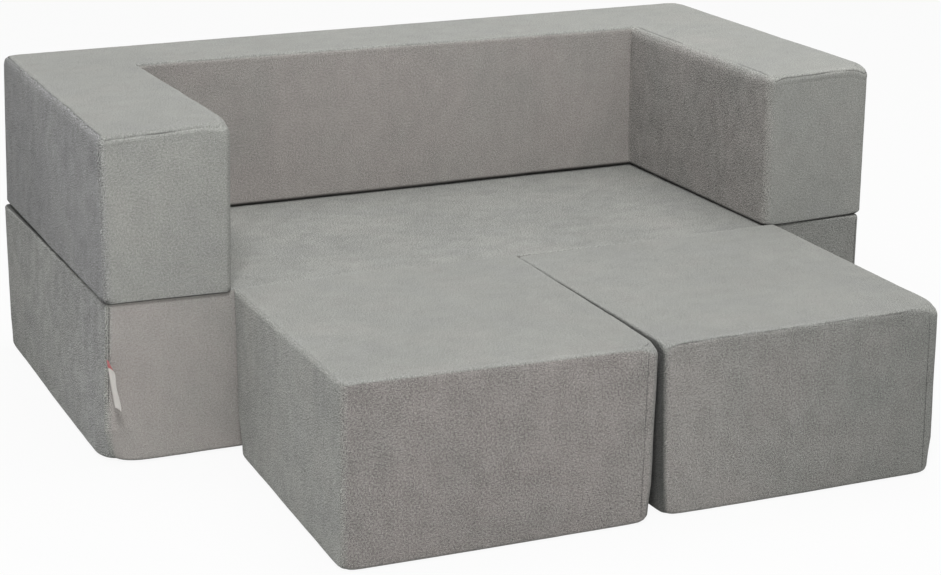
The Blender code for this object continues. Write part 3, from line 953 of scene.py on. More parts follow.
def block_plan(left: float, right: float, front: float, rear: float, **settings: Any) -> Outline:
    """Draws the plan of a plain block, with settings as the outline takes them."""
    corners = [(left, front), (right, front), (right, rear), (left, rear)]
    return Outline(corners, [(0, 2), (1, 3)], (0, 1, 2, 3), **settings)


class Zone(Enum):
    """Stretches of a wall, from the underside up."""

    FOOT = "rounded lower edge"
    LOW = "below the zip"
    SLOT = "round the zip"
    WALL = "plain wall"
    SHOULDER = "just below the upper edge"
    RIM = "rounded upper edge"


@dataclass(frozen=True)
class Ring:
    """One level of a wall: an angle in degrees in a rounded edge, a distance, or a share of a stretch."""

    zone: Zone
    value: float


@dataclass(frozen=True)
class UprightSeam:
    """An upright seam between two panels, offset along the walk from a corner.

    Where stitch is set, a row of stitches runs at that distance. A kink bends the seam's lower end aside.
    """

    corner: int
    offset: float
    stitch: float = 0.0
    depth: float = 1.0 * MM
    shade: float = 1.0
    start: float = 0.0
    kink: float = 0.0


@dataclass(frozen=True)
class Ridge:
    """A rounded ridge along a seam, or a groove where its height is negative."""

    place: float
    width: float
    height: float

    def over(self, away: np.ndarray) -> np.ndarray:
        """Returns its height at distances from the seam."""
        return self.height * bell(away, self.place, self.width)


@dataclass(frozen=True)
class Waves:
    """One layer of unevenness in the cloth."""

    cell: float
    height: float
    seed: int


@dataclass(frozen=True)
class Panel:
    """One panel's pile, tone and painted shade, and how its upper and lower edges are sewn and rounded.

    The tone is the panel's brightness: the pile's lie together with painted light and shade. The share roll
    says how far the upper roll takes on the top's look. Where far is set, it is the tone, grain and hue that
    the pile has got to at the cover's right end, or on a side wall at its rear. The shades are painted shade:
    rim_shade on the upper roll, where another block stands on it, and foot_shade on the lower roll.
    """

    tone: float = 1.0
    grain: float = 2.0
    hue: float = 0.0
    radius: float = 8.0 * MM
    seam_angle: float = 55.0
    seam: float = 1.0
    foot_radius: float = 8.0 * MM
    foot_shade: float = 0.0
    roll: float = 0.7
    rim_shade: float = 0.0
    far: Triple | None = None


@dataclass
class SoftCover:
    """The sewn cover of a foam block, filled by it.

    Dictionaries give single corners a value of their own. The moves say, in millimetres, how far the corners
    of the photographed block lie from the plain block's, at the rim and at the floor. Steps are in
    millimetres too.
    """

    name: str
    body: str
    stands_for: tuple[str, ...]
    outline: Outline
    floor: float
    rim: float
    crown: float
    crown_reach: float
    zip_edge: int
    zip_level: float
    zip_reach: float
    seed: int
    top: Panel
    walls: tuple[Panel, ...]
    seams: tuple[UprightSeam, ...] = ()
    seam_fades: dict[int, float] = field(default_factory=dict)
    soft_top: float = 15.0 * MM
    soft_tops: dict[int, float] = field(default_factory=dict)
    soft_bottom: float = 30.0 * MM
    soft_bottoms: dict[int, float] = field(default_factory=dict)
    top_reach: float = 26.0 * MM
    bottom_reach: float = 34.0 * MM
    ball: float = 22.0 * MM
    balls: dict[int, float] = field(default_factory=dict)
    ball_reach: float = 60.0 * MM
    swell: float = 3.0 * MM
    swell_flatness: float = 0.6
    rim_moves: Moves = field(default_factory=dict)
    foot_moves: Moves = field(default_factory=dict)
    move_margin: float = 15.0 * MM
    seam_angle: float = 45.0
    low_seam_angle: float = 40.0
    slot_half: float = 6.5 * MM
    slot_depth: float = 3.0 * MM
    slot_clear: float = 14.0 * MM
    shoulder: float = 24.0 * MM
    crown_start: float = 1.0 * MM
    crown_full: float = -8.0 * MM
    low_rings: int = 2
    wall_rings: int = 20
    seam_steps: tuple[float, ...] = (0.5, 1.0, 1.7, 2.8, 4.4, 7.0, 10.0)
    stitch_steps: tuple[float, ...] = (0.6, 1.2)
    zip_end_steps: tuple[float, ...] = (2.5,)
    slot_steps: tuple[float, ...] = (5.6, 6.6, 7.8, 9.0, 10.5, 14.0)
    shoulder_steps: tuple[float, ...] = (24.0, 19.0, 15.5, 13.0, 11.5, 10.0, 8.0, 5.5, 3.0)

    def __post_init__(self) -> None:
        """Spreads the points over the outline and up the walls."""
        marks: dict[int, list[float]] = {}
        for seam in self.seams:
            rows = [step * MM for step in mirrored(self.seam_steps)]
            if seam.stitch:
                rows += [seam.stitch + step * MM for step in mirrored(self.stitch_steps)]
            for row in rows:
                edge, place = self.outline.beside_corner(seam.corner, seam.offset + row)
                marks.setdefault(edge, []).append(place)
        centre = self.outline.length[self.zip_edge] / 2.0
        for end in (centre - self.zip_reach, centre + self.zip_reach):
            places = [end + step * MM for step in mirrored(self.zip_end_steps)]
            marks.setdefault(self.zip_edge, []).extend(places)
        self.outline.spread(marks)
        self.rings = self.level_rings()

    def level_rings(self) -> list[Ring]:
        """Works out the levels of the wall's points.

        Returns:
            The rings from the underside to the rim, closest together round the seams.
        """
        seam, low = self.seam_angle, self.low_seam_angle
        foot = [0.0, 14.0, 28.0] + [low + step for step in mirrored((5.0, 12.0))] + [64.0, 76.0, RIGHT_ANGLE]
        rim = [RIGHT_ANGLE, 76.0] + [seam - step for step in mirrored((4.5, 10.0, 18.0))] + [14.0, 0.0]
        found = [Ring(Zone.FOOT, angle) for angle in foot]
        found += [Ring(Zone.LOW, share) for share in np.linspace(0.0, 1.0, self.low_rings + 2)[1:-1]]
        found += [Ring(Zone.SLOT, step * MM) for step in mirrored(self.slot_steps)]
        found += [Ring(Zone.WALL, share) for share in np.linspace(0.0, 1.0, self.wall_rings + 2)[1:-1]]
        found += [Ring(Zone.SHOULDER, step * MM) for step in self.shoulder_steps]
        return found + [Ring(Zone.RIM, angle) for angle in rim]

    def ring_number(self, zone: Zone, value: float) -> int:
        """Finds a ring."""
        return self.rings.index(Ring(zone, value))

    def wall_layout(self) -> dict[str, np.ndarray]:
        """Works out inset, level and distances to the seams for every wall point.

        Returns:
            Arrays with one row for each column and one entry for each ring.
        """
        top = self.outline.edge_mix([wall.radius for wall in self.walls])
        top = self.outline.softened(top, self.soft_tops, self.soft_top, self.top_reach)
        low = self.outline.edge_mix([wall.foot_radius for wall in self.walls])
        low = self.outline.softened(low, self.soft_bottoms, self.soft_bottom, self.bottom_reach)
        seam = np.radians(self.outline.edge_mix([wall.seam_angle for wall in self.walls]))
        low_seam = math.radians(self.low_seam_angle)
        shape = (len(self.outline.columns), len(self.rings))
        inset, level, down, up = (np.zeros(shape) for _ in range(4))
        slot_low, slot_top = self.zip_level - self.slot_clear, self.zip_level + self.slot_clear
        for i, ring in enumerate(self.rings):
            down[:, i], up[:, i] = (math.pi / 2.0 - seam) * top, (math.pi / 2.0 - low_seam) * low
            if ring.zone is Zone.FOOT:
                turn = math.radians(ring.value)
                inset[:, i], level[:, i] = low * (1.0 - math.sin(turn)), low * (1.0 - math.cos(turn))
                up[:, i] = (turn - low_seam) * low
            elif ring.zone is Zone.RIM:
                outer = max(0.0, (ring.value - self.seam_angle) / (RIGHT_ANGLE - self.seam_angle))
                turn = min(1.0, ring.value / self.seam_angle) * seam + outer * (math.pi / 2.0 - seam)
                inset[:, i], level[:, i] = top * (1.0 - np.sin(turn)), self.rim - top * (1.0 - np.cos(turn))
                down[:, i] = (turn - seam) * top
            elif ring.zone is Zone.LOW:
                level[:, i] = low + ring.value * (slot_low - low)
            elif ring.zone is Zone.SLOT:
                level[:, i] = self.zip_level + ring.value
            elif ring.zone is Zone.WALL:
                level[:, i] = slot_top + ring.value * (self.rim - top - self.shoulder - slot_top)
            else:
                level[:, i] = self.rim - top - ring.value
            if ring.zone is not Zone.RIM:
                down[:, i] += self.rim - top - level[:, i]
            if ring.zone is not Zone.FOOT:
                up[:, i] += level[:, i] - low
        return {"inset": inset, "level": level, "down": down, "up": up}

    def build(self, palette: Palette) -> bpy.types.Object:
        """Makes the cover's cloth.

        Args:
            palette: The sofa's finishes.

        Returns:
            The closed, soft cover.
        """
        lay = self.wall_layout()
        flat = self.outline.place(lay["inset"])
        count, rings = lay["inset"].shape
        walls = count * rings
        wall = np.concatenate([flat, (self.floor + lay["level"])[:, :, None]], axis=2)
        top_grid, sides = self.outline.cap(flat[:, -1])
        low_grid, _ = self.outline.cap(flat[:, 0])
        inner = top_grid.reshape(-1, 2)
        points = np.concatenate([
            wall.reshape(-1, 3),
            np.column_stack([inner, np.full(len(inner), self.floor + self.rim)]),
            np.column_stack([low_grid.reshape(-1, 2), np.full(len(inner), self.floor)]),
        ])
        faces, kinds = self.quads(sides, top_grid.shape[:2])
        normals = grid_normals(points, faces)
        away = np.full(2 * len(inner), FAR)
        down, up = (np.concatenate([lay[key].ravel(), away]) for key in ("down", "up"))
        rim_away, edge = self.outline.nearest_edge(points[:, :2])
        on_top = slice(walls, walls + len(inner))
        radius = np.array([wall.radius for wall in self.walls])[edge[on_top]]
        seam_arc = radius * np.radians([wall.seam_angle for wall in self.walls])[edge[on_top]]
        down[on_top] = -seam_arc - np.maximum(rim_away[on_top] - radius, 0.0)
        up[walls + len(inner):] = -FAR

        relief = ClothRelief(self, points, down, up, edge, walls)
        relief.sew()
        points = points + normals * relief.lift[:, None]
        crowned = smooth(0.0, self.crown_reach, rim_away) * smooth(self.crown_start, self.crown_full, down)
        points[:, 2] += self.crown * crowned
        points = self.settle(points)
        points[:, 2] = np.maximum(points[:, 2], 0.0)
        self.wall_grid = points[:walls].reshape(count, rings, 3)
        self.wall_normals = normals[:walls].reshape(count, rings, 3)

        weave = self.weave_map(points, faces, kinds, lay["up"])
        parts = MeshParts(points, [tuple(quad) for quad in faces.tolist()], weave)
        # Painted shade, wear with a painted highlight, and tones with painted light and shade.
        parts.fields = {SEAM_SHADE_FIELD: relief.shade(), EDGE_FIELD: relief.wear_and_highlight()}
        for key in (TONE_FIELD, GRAIN_FIELD, HUE_FIELD):
            parts.fields[key] = self.panel_field(points, faces, kinds, key)
        obj = parts.make(self.name, palette.plush)
        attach(obj, self.body)
        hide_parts(*self.stands_for)
        LOG.info("%s: %d points, %d faces", self.name, len(points), len(faces))
        return obj

    def quads(self, sides: list[list[int]], inner: tuple[int, int]) -> tuple[np.ndarray, np.ndarray]:
        """Lists the cover's quads and the panel that each belongs to.

        Args:
            sides: Columns on the four sides of the top and the underside.
            inner: Points along and across the inner grid of the top.

        Returns:
            Point numbers, four to a row, and the edge that each wall face stands over, -1 on the top and -2
            on the underside.
        """
        count, rings = len(self.outline.columns), len(self.rings)
        top = self.ring_number(Zone.RIM, self.seam_angle)
        low = self.ring_number(Zone.FOOT, self.low_seam_angle)
        faces: list[tuple[int, ...]] = []
        kinds: list[int] = []
        for j in range(count):
            k = (j + 1) % count
            for i in range(rings - 1):
                faces.append((j * rings + i, k * rings + i, k * rings + i + 1, j * rings + i + 1))
                kinds.append(-1 if i >= top else -2 if i < low else self.outline.columns[j].corner)
        cells = inner[0] * inner[1]
        for ring, kind, base in ((rings - 1, -1, count * rings), (0, -2, count * rings + cells)):
            grid = np.zeros((inner[0] + 2, inner[1] + 2), np.int64)
            grid[1:-1, 1:-1] = base + np.arange(cells).reshape(inner)
            for side, target in zip(sides, (grid[:, 0], grid[:, -1], grid[0, :], grid[-1, :])):
                target[:] = np.array(side) * rings + ring
            quads = grid_quads(grid)
            faces += [tuple(quad) for quad in (quads if kind == -1 else quads[:, ::-1]).tolist()]
            kinds += [kind] * len(quads)
        return np.array(faces), np.array(kinds)

    def panel_field(self, points: np.ndarray, faces: np.ndarray, kinds: np.ndarray, key: str) -> np.ndarray:
        """Gives each quad its panel's setting, changing smoothly round the edges and over the upper roll.

        Args:
            points: The cover's points.
            faces: Its quads.
            kinds: The panel of each quad.
            key: Name of the setting.

        Returns:
            One value for each quad.
        """
        least, most = self.outline.plan.min(axis=0), self.outline.plan.max(axis=0)
        across, deep = np.clip((points[faces[:, 0], :2] - least) / (most - least), 0.0, 1.0).T
        panels = (self.top, *self.walls)
        near = [getattr(panel, key) for panel in panels]
        number = (TONE_FIELD, GRAIN_FIELD, HUE_FIELD).index(key)
        far = [own if panel.far is None else panel.far[number] for own, panel in zip(near, panels)]
        values = near[0] + (far[0] - near[0]) * across
        on_wall = kinds >= 0
        column, ring = faces[on_wall, 0] // len(self.rings), faces[on_wall, 0] % len(self.rings)
        own, end = np.array(near[1:]), np.array(far[1:])
        change = (end - own) * (np.abs(self.outline.inward[:, 0]) > 0.5)
        mixed = [self.outline.edge_mix(list(each))[column] for each in (own, end - own - change, change)]
        wall = mixed[0] + mixed[1] * across[on_wall] + mixed[2] * deep[on_wall]
        angle = np.array([ring.value if ring.zone is Zone.RIM else RIGHT_ANGLE for ring in self.rings])[ring]
        share = self.outline.edge_mix([wall.roll for wall in self.walls])[column]
        roll = share * np.clip((RIGHT_ANGLE - angle) / (RIGHT_ANGLE - self.seam_angle), 0.0, 1.0)
        values[on_wall] = wall + (values[on_wall] - wall) * roll
        return values

    def weave_map(
        self, points: np.ndarray, faces: np.ndarray, kinds: np.ndarray, rise: np.ndarray
    ) -> np.ndarray:
        """Lays the weave over each panel, in metres along its threads.

        Args:
            points: The cover's points.
            faces: Its quads.
            kinds: The panel of each quad.
            rise: Height up the wall of each wall point.

        Returns:
            One place on the cloth for each corner of each quad.
        """
        weave = points[faces][:, :, [1, 0]].copy()
        on_wall = kinds >= 0
        column, ring = faces[on_wall] // len(self.rings), faces[on_wall] % len(self.rings)
        wraps = (column == 0) & (column.max(axis=1, keepdims=True) > 1)
        weave[on_wall, :, 0] = self.outline.running[np.where(wraps, len(self.outline.columns), column)]
        weave[on_wall, :, 1] = rise[column, ring]
        return weave.reshape(-1, 2)

    def swell_shares(self) -> np.ndarray:
        """Says how far each column takes part in the walls' swell, which the zip's wall has none of."""
        shares = [0.0 if c.on_fillet or c.corner == self.zip_edge else c.share for c in self.outline.columns]
        return (4.0 * np.array(shares) * (1.0 - np.array(shares))) ** self.swell_flatness

    def settle(self, points: np.ndarray) -> np.ndarray:
        """Moves the cloth to how the photographed block sits, by its corners' moves at floor and rim.

        Args:
            points: The cover's points.

        Returns:
            The moved points.
        """
        moves = [self.foot_moves, self.rim_moves]
        still, numbers = (0.0, 0.0, 0.0), range(self.outline.count)
        foot, rim = (np.array([each.get(k, still) for k in numbers]) * MM for each in moves)
        weights = self.outline.corner_weights(points[:, :2], self.move_margin)
        height = np.clip((points[:, 2:] - self.floor) / self.rim, 0.0, 1.0)
        return self.round_off(points) + weights @ foot * (1.0 - height) + weights @ rim * height

    def round_off(self, points: np.ndarray) -> np.ndarray:
        """Rounds the plan's corners toward the floor, where the foam doesn't fill the cover's corners.

        Args:
            points: The cover's points.

        Returns:
            The moved points.
        """
        low = np.clip(1.0 - (points[:, 2] - self.floor) / self.ball_reach, 0.0, 1.0)
        moved = points.copy()
        for k in range(self.outline.count):
            radius = self.balls.get(k, self.ball)
            if not self.outline.convex[k] or radius <= 0.0:
                continue
            before, after = self.outline.inward[k - 1], self.outline.inward[k]
            centre = self.outline.plan[k] + (before + after) * radius
            away = points[:, :2] - centre
            sides = np.maximum(np.stack([away @ -before, away @ -after], axis=1), 0.0)
            reach = np.maximum(np.linalg.norm(sides, axis=1), TINY)
            short = np.where(sides.min(axis=1) > 0.0, sides.max(axis=1) / reach, 1.0)
            moved[:, :2] += away * ((short - 1.0) * low)[:, None]
        return moved

    def upright_line(self, corner: int, offset: float) -> tuple[np.ndarray, np.ndarray]:
        """Reads the finished cloth up the wall, beside a corner.

        Args:
            corner: The corner.
            offset: Distance from the middle of its fillet.

        Returns:
            Points up the wall, and the plain block's normals there.
        """
        found = int(np.argmin(np.abs(self.outline.from_corner(corner, offset))))
        return self.wall_grid[found], self.wall_normals[found]


@dataclass
class ClothRelief:
    """Raises and lowers the cloth over a cover's plain block, and paints shade into seams, rolls and the
    slot.

    The arrays hold, for each point, its place, its distance below the top seam and above the bottom seam, and
    the outline's edge that is nearest. The points of the walls come first.
    """

    cover: SoftCover
    points: np.ndarray
    down: np.ndarray
    up: np.ndarray
    edge: np.ndarray
    walls: int
    seed_step: int = 17
    swell_roundness: float = 0.8
    zip_wall_calm: float = 0.75
    broad: Waves = Waves(0.210, 0.80 * MM, 0)
    middle: Waves = Waves(0.075, 0.50 * MM, 1)
    fine: Waves = Waves(0.026, 0.12 * MM, 2)
    gather: Waves = Waves(0.045, 0.6, 3)
    pucker: Waves = Waves(0.017, 0.32 * MM, 4)
    gaps: Waves = Waves(0.034, 1.0, 5)
    wobble: Waves = Waves(0.050, 0.6 * MM, 6)
    wander: Waves = Waves(0.070, 0.9 * MM, 7)
    tremble: Waves = Waves(0.022, 0.5 * MM, 8)
    gap_range: tuple[float, float] = (-0.5, 0.4)
    # Painted shade: the shade ridges below darken the seams and stitch rows, and slot_shade the zip's slot.
    gap_shade: float = 0.2
    top_groove: Ridge = Ridge(0.0, 1.1 * MM, -1.1 * MM)
    top_bulge: Ridge = Ridge(5.5 * MM, 3.6 * MM, 0.8 * MM)
    top_dip: Ridge = Ridge(12.0 * MM, 2.0 * MM, -0.5 * MM)
    top_edge: Ridge = Ridge(-5.0 * MM, 3.5 * MM, 0.35 * MM)
    top_shade: Ridge = Ridge(0.0, 0.9 * MM, 1.0)
    foot_groove: Ridge = Ridge(0.0, 1.2 * MM, -0.9 * MM)
    foot_bulge: Ridge = Ridge(6.0 * MM, 4.0 * MM, 0.35 * MM)
    foot_shade: Ridge = Ridge(0.0, 1.0 * MM, 0.25)
    upright_groove: Ridge = Ridge(0.0, 1.0 * MM, -1.0)
    upright_bulge: Ridge = Ridge(3.6 * MM, 2.2 * MM, 0.45)
    upright_shade: Ridge = Ridge(0.0, 0.8 * MM, 1.0)
    stitch_groove: Ridge = Ridge(0.0, 0.9 * MM, -0.5 * MM)
    stitch_shade: Ridge = Ridge(0.0, 0.8 * MM, 0.6)
    slot_lip: Ridge = Ridge(9.2 * MM, 1.6 * MM, 0.35 * MM)
    slot_shade: float = 0.8
    slot_ease: tuple[float, float] = (1.0 * MM, -0.6 * MM)
    slot_end_ease: float = 1.2 * MM
    # Wear together with a painted highlight, on both sides of the top seam.
    wear_highlight_below: Ridge = Ridge(3.0 * MM, 4.5 * MM, 0.8)
    wear_highlight_above: Ridge = Ridge(-4.0 * MM, 4.0 * MM, 0.6)
    fade_width: float = 15.0 * MM
    pucker_reach: float = 9.0 * MM
    upright_pucker_reach: float = 8.0 * MM
    kink_reach: float = 14.0 * MM
    start_reach: float = 20.0 * MM
    upright_top: tuple[float, float] = (1.0 * MM, 5.0 * MM)
    upright_foot: tuple[float, float] = (-2.0 * MM, 4.0 * MM)
    rim_shade_upper: tuple[float, float] = (-10.0 * MM, -6.0 * MM)
    rim_shade_lower: tuple[float, float] = (0.5 * MM, -1.0 * MM)
    foot_shade_arc: tuple[float, float] = (0.95, 0.5)
    underside_arc: float = 8.0 * MM
    darkest: float = 1.3

    def __post_init__(self) -> None:
        """Lays out what every seam needs."""
        self.seed = self.cover.seed * self.seed_step
        self.on_wall = np.zeros(len(self.points))
        self.on_wall[:self.walls] = 1.0
        self.down = self.down + self.uneven(self.wander) + self.uneven(self.tremble)
        closed = smooth(*self.gap_range, self.uneven(self.gaps))
        self.broken = self.gap_shade + (1.0 - self.gap_shade) * closed
        self.puckers = self.uneven(self.pucker)
        self.lift = np.zeros(len(self.points))
        self.seam = np.zeros(len(self.points))

    def sew(self) -> None:
        """Fills the cover and sews its seams."""
        self.swell()
        self.sew_top()
        self.sew_foot()
        for line in self.cover.seams:
            self.sew_upright(line)
        self.sink_slot()

    def shade(self) -> np.ndarray:
        """Says how much painted shade each point gets: in a seam, on a shaded roll or in the zip's slot."""
        return np.clip(self.seam, 0.0, self.darkest)

    def wear_and_highlight(self) -> np.ndarray:
        """Says how far the pile is lightened by the top seam: wear together with a painted highlight."""
        return np.clip(self.wear_highlight_below.over(self.down) + self.wear_highlight_above.over(self.down), 0.0, 1.0)

    def uneven(self, waves: Waves) -> np.ndarray:
        """Returns one layer of unevenness at each point."""
        return waves.height * lattice_noise(self.points, waves.cell, self.seed + waves.seed)

    def spanned(self, values: np.ndarray, plain: float = 0.0) -> np.ndarray:
        """Gives each wall point its column's value, and every other point a plain one.

        Args:
            values: One value for each column.
            plain: The value away from the walls.

        Returns:
            One value for each point.
        """
        found = np.full(len(self.points), plain)
        found[:self.walls] = np.repeat(values, len(self.cover.rings))
        return found

    def by_wall(self, key: str) -> np.ndarray:
        """Gives each point a setting of its wall or, on the top, of the nearest wall.

        Args:
            key: Name of the setting.

        Returns:
            One value for each point.
        """
        values = [getattr(wall, key) for wall in self.cover.walls]
        found = np.array(values)[self.edge]
        found[:self.walls] = np.repeat(self.cover.outline.edge_mix(values), len(self.cover.rings))
        return found

    def swell(self) -> None:
        """Swells the walls and lays uneven foam under all of the cloth."""
        cover = self.cover
        calm = 1.0 - self.zip_wall_calm * self.on_wall * (self.edge == cover.zip_edge)
        height = np.clip((self.points[:, 2] - cover.floor) / cover.rim, 0.0, 1.0)
        swell = self.spanned(cover.swell_shares()) * cover.swell
        self.lift += swell * np.sin(np.pi * height) ** self.swell_roundness
        self.lift += calm * (self.uneven(self.broad) + self.uneven(self.middle)) + self.uneven(self.fine)

    def sew_top(self) -> None:
        """Sews the top seam, and paints shade into it and onto the upper roll where a block stands on it."""
        strength = self.by_wall("seam")
        for corner, share in self.cover.seam_fades.items():
            away = self.spanned(self.cover.outline.from_corner(corner, 0.0), FAR)
            strength *= 1.0 - share * bell(away, 0.0, self.fade_width)
        gathered = strength * (1.0 + self.uneven(self.gather))
        self.lift += strength * self.top_groove.over(self.down)
        self.lift += gathered * (self.top_bulge.over(self.down) + self.top_dip.over(self.down))
        self.lift += self.top_edge.over(self.down)
        self.lift += self.puckers * np.exp(-np.abs(self.down) / self.pucker_reach)
        self.seam += strength * self.broken * self.top_shade.over(self.down)
        under = smooth(*self.rim_shade_lower, self.down) * smooth(*self.rim_shade_upper, self.down)
        self.seam += self.by_wall("rim_shade") * under

    def sew_foot(self) -> None:
        """Sews the seam round the underside, and paints shade into it and onto the lower roll."""
        outline, walls = self.cover.outline, self.cover.walls
        self.lift += self.foot_groove.over(self.up) + self.foot_bulge.over(self.up)
        turn = math.radians(RIGHT_ANGLE - self.cover.low_seam_angle)
        arc = self.spanned(outline.edge_mix([wall.foot_radius for wall in walls]) * turn, self.underside_arc)
        shade = self.spanned(outline.edge_mix([wall.foot_shade for wall in walls]))
        light, dark = self.foot_shade_arc
        self.seam += self.foot_shade.over(self.up) + shade * smooth(light * arc, dark * arc, self.up)

    def sew_upright(self, line: UprightSeam) -> None:
        """Sews an upright seam, and its row of stitches where it has one.

        Args:
            line: The seam.
        """
        wobble = self.uneven(self.wobble) - line.kink * np.exp(-np.maximum(self.up, 0.0) / self.kink_reach)
        beside = self.spanned(self.cover.outline.from_corner(line.corner, line.offset), FAR) + wobble
        sewn = self.on_wall * smooth(*self.upright_top, self.down) * smooth(*self.upright_foot, self.up)
        sewn *= smooth(line.start, line.start + self.start_reach, self.up)
        ridges = self.upright_groove.over(beside) + self.upright_bulge.over(np.abs(beside))
        self.lift += sewn * line.depth * ridges
        self.lift += sewn * self.puckers * np.exp(-np.abs(beside) / self.upright_pucker_reach)
        # Painted shade along the seam and, where it has one, along its stitch row.
        self.seam += sewn * line.shade * self.broken * self.upright_shade.over(beside)
        if line.stitch:
            self.lift += sewn * self.stitch_groove.over(beside - line.stitch)
            self.seam += sewn * self.stitch_shade.over(beside - line.stitch)

    def sink_slot(self) -> None:
        """Sinks the slot of the zip into its wall, with a raised lip and painted shade in the slot."""
        cover, outline = self.cover, self.cover.outline
        start, place = outline.beside_corner(cover.zip_edge, 0.0)
        centre = float(outline.length[cover.zip_edge]) / 2.0
        middle = self.spanned(np.abs(outline.from_corner(start, centre - place)), FAR)
        across = np.abs(self.points[:, 2] - cover.floor - cover.zip_level)
        outside, within = (cover.slot_half + ease for ease in self.slot_ease)
        end, ease = cover.zip_reach, self.slot_end_ease
        inside = self.on_wall * smooth(end + ease, end - ease, middle)
        slot = inside * smooth(outside, within, across)
        self.lift += inside * self.slot_lip.over(across) - cover.slot_depth * slot
        self.seam += self.slot_shade * slot


@dataclass
class Bars:
    """Closed round bars, gathered into one mesh."""

    sides: int
    points: list[np.ndarray] = field(default_factory=list)
    faces: list[tuple[int, ...]] = field(default_factory=list)

    def add(self, centres: list[np.ndarray], out: np.ndarray, radii: list[tuple[float, float]]) -> None:
        """Adds a bar.

        Args:
            centres: Centres of the bar's rings.
            out: Direction that the bar's upper side faces.
            radii: Sideways and upward radius of each ring.
        """
        aside = np.cross(centres[-1] - centres[0], out)
        aside /= np.linalg.norm(aside)
        first, sides = len(self.points), self.sides
        for centre, (wide, high) in zip(centres, radii):
            for n in range(sides):
                angle = math.tau * n / sides
                self.points.append(centre + aside * math.cos(angle) * wide + out * math.sin(angle) * high)
        for row in range(len(centres) - 1):
            for n in range(sides):
                a, b, k = first + row * sides, first + (row + 1) * sides, (n + 1) % sides
                self.faces.append((a + n, a + k, b + k, b + n))
        last = first + (len(centres) - 1) * sides
        self.faces.append(tuple(first + n for n in reversed(range(sides))))
        self.faces.append(tuple(last + n for n in range(sides)))

    def make(self, name: str, material: bpy.types.Material) -> bpy.types.Object:
        """Turns all the bars into one object."""
        return MeshParts(np.array(self.points), self.faces).make(name, material)


@dataclass(frozen=True)
class Stitching:
    """Rows of lock stitches in sewing thread.

    The profile gives, at shares of a stitch's length, its thickness and its rise, as shares of the radius.
    """

    length: float = 2.8 * MM
    pause: float = 1.7 * MM
    radius: float = 0.62 * MM
    sink: float = 0.1 * MM
    sides: int = 5
    profile: tuple[Triple, ...] = (
        (0.0, 0.45, -0.25), (0.18, 1.0, 0.35), (0.5, 1.1, 0.6), (0.82, 1.0, 0.35), (1.0, 0.45, -0.25),
    )

    def row(self, line: np.ndarray, normals: np.ndarray) -> list[Stitch]:
        """Spaces stitches along a line.

        Args:
            line: Points on the cloth.
            normals: The cloth's normals there.

        Returns:
            For each stitch, its two ends and its outward direction.
        """
        running = np.concatenate([[0.0], np.cumsum(np.linalg.norm(np.diff(line, axis=0), axis=1))])

        def read(values: np.ndarray, place: float) -> np.ndarray:
            """Reads values along the line."""
            return np.array([np.interp(place, running, values[:, n]) for n in range(3)])

        found = []
        place = self.pause
        while place + self.length < running[-1]:
            out = read(normals, place + self.length / 2.0)
            out /= np.linalg.norm(out)
            start, stop = read(line, place), read(line, place + self.length)
            found.append((start - out * self.sink, stop - out * self.sink, out))
            place += self.length + self.pause
        return found

    def make(self, name: str, body: str, stitches: list[Stitch], palette: Palette) -> bpy.types.Object:
        """Makes the thread of one or more rows as arched little bars.

        Args:
            name: Name of the piece.
            body: CAD body that it moves with.
            stitches: What row() gave.
            palette: The sofa's finishes.

        Returns:
            The thread.
        """
        bars = Bars(self.sides)
        radii = [(self.radius * thick, self.radius * thick) for _, thick, _ in self.profile]
        for start, stop, out in stitches:
            rises = [(share, out * rise * self.radius) for share, _, rise in self.profile]
            bars.add([start + (stop - start) * share + rise for share, rise in rises], out, radii)
        obj = bars.make(name, palette.thread)
        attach(obj, body)
        return obj


def upright_grid(xs: np.ndarray, zs: np.ndarray) -> np.ndarray:
    """Spans an upright grid of points across x and z, at a y of 0."""
    return np.stack(np.broadcast_arrays(xs[:, None], 0.0, zs[None]), axis=2)


def grid_noise(grid: np.ndarray, cell: float, seed: int) -> np.ndarray:
    """Makes smooth noise over a grid of points."""
    return lattice_noise(grid.reshape(-1, 3), cell, seed).reshape(grid.shape[:2])


def slab(rows: np.ndarray, out: np.ndarray, thickness: float) -> MeshParts:
    """Closes a grid of points into a thin slab.

    Args:
        rows: Grid of points on its outer face.
        out: Direction of the outer face at each grid point, or one for all.
        thickness: Thickness of the slab.

    Returns:
        The closed slab.
    """
    long, wide = rows.shape[:2]
    upper = rows.reshape(-1, 3)
    lower = (rows - out * thickness).reshape(-1, 3)
    number = np.arange(long * wide).reshape(long, wide)
    quads = grid_quads(number)
    rim = np.concatenate([number[:, 0], number[-1, 1:], number[-2::-1, -1], number[0, -2:0:-1]])
    side = np.stack([rim, rim + long * wide, np.roll(rim, -1) + long * wide, np.roll(rim, -1)], axis=1)
    faces = np.concatenate([quads, quads[:, ::-1] + long * wide, side])
    return MeshParts(np.concatenate([upper, lower]), [tuple(quad) for quad in faces.tolist()])


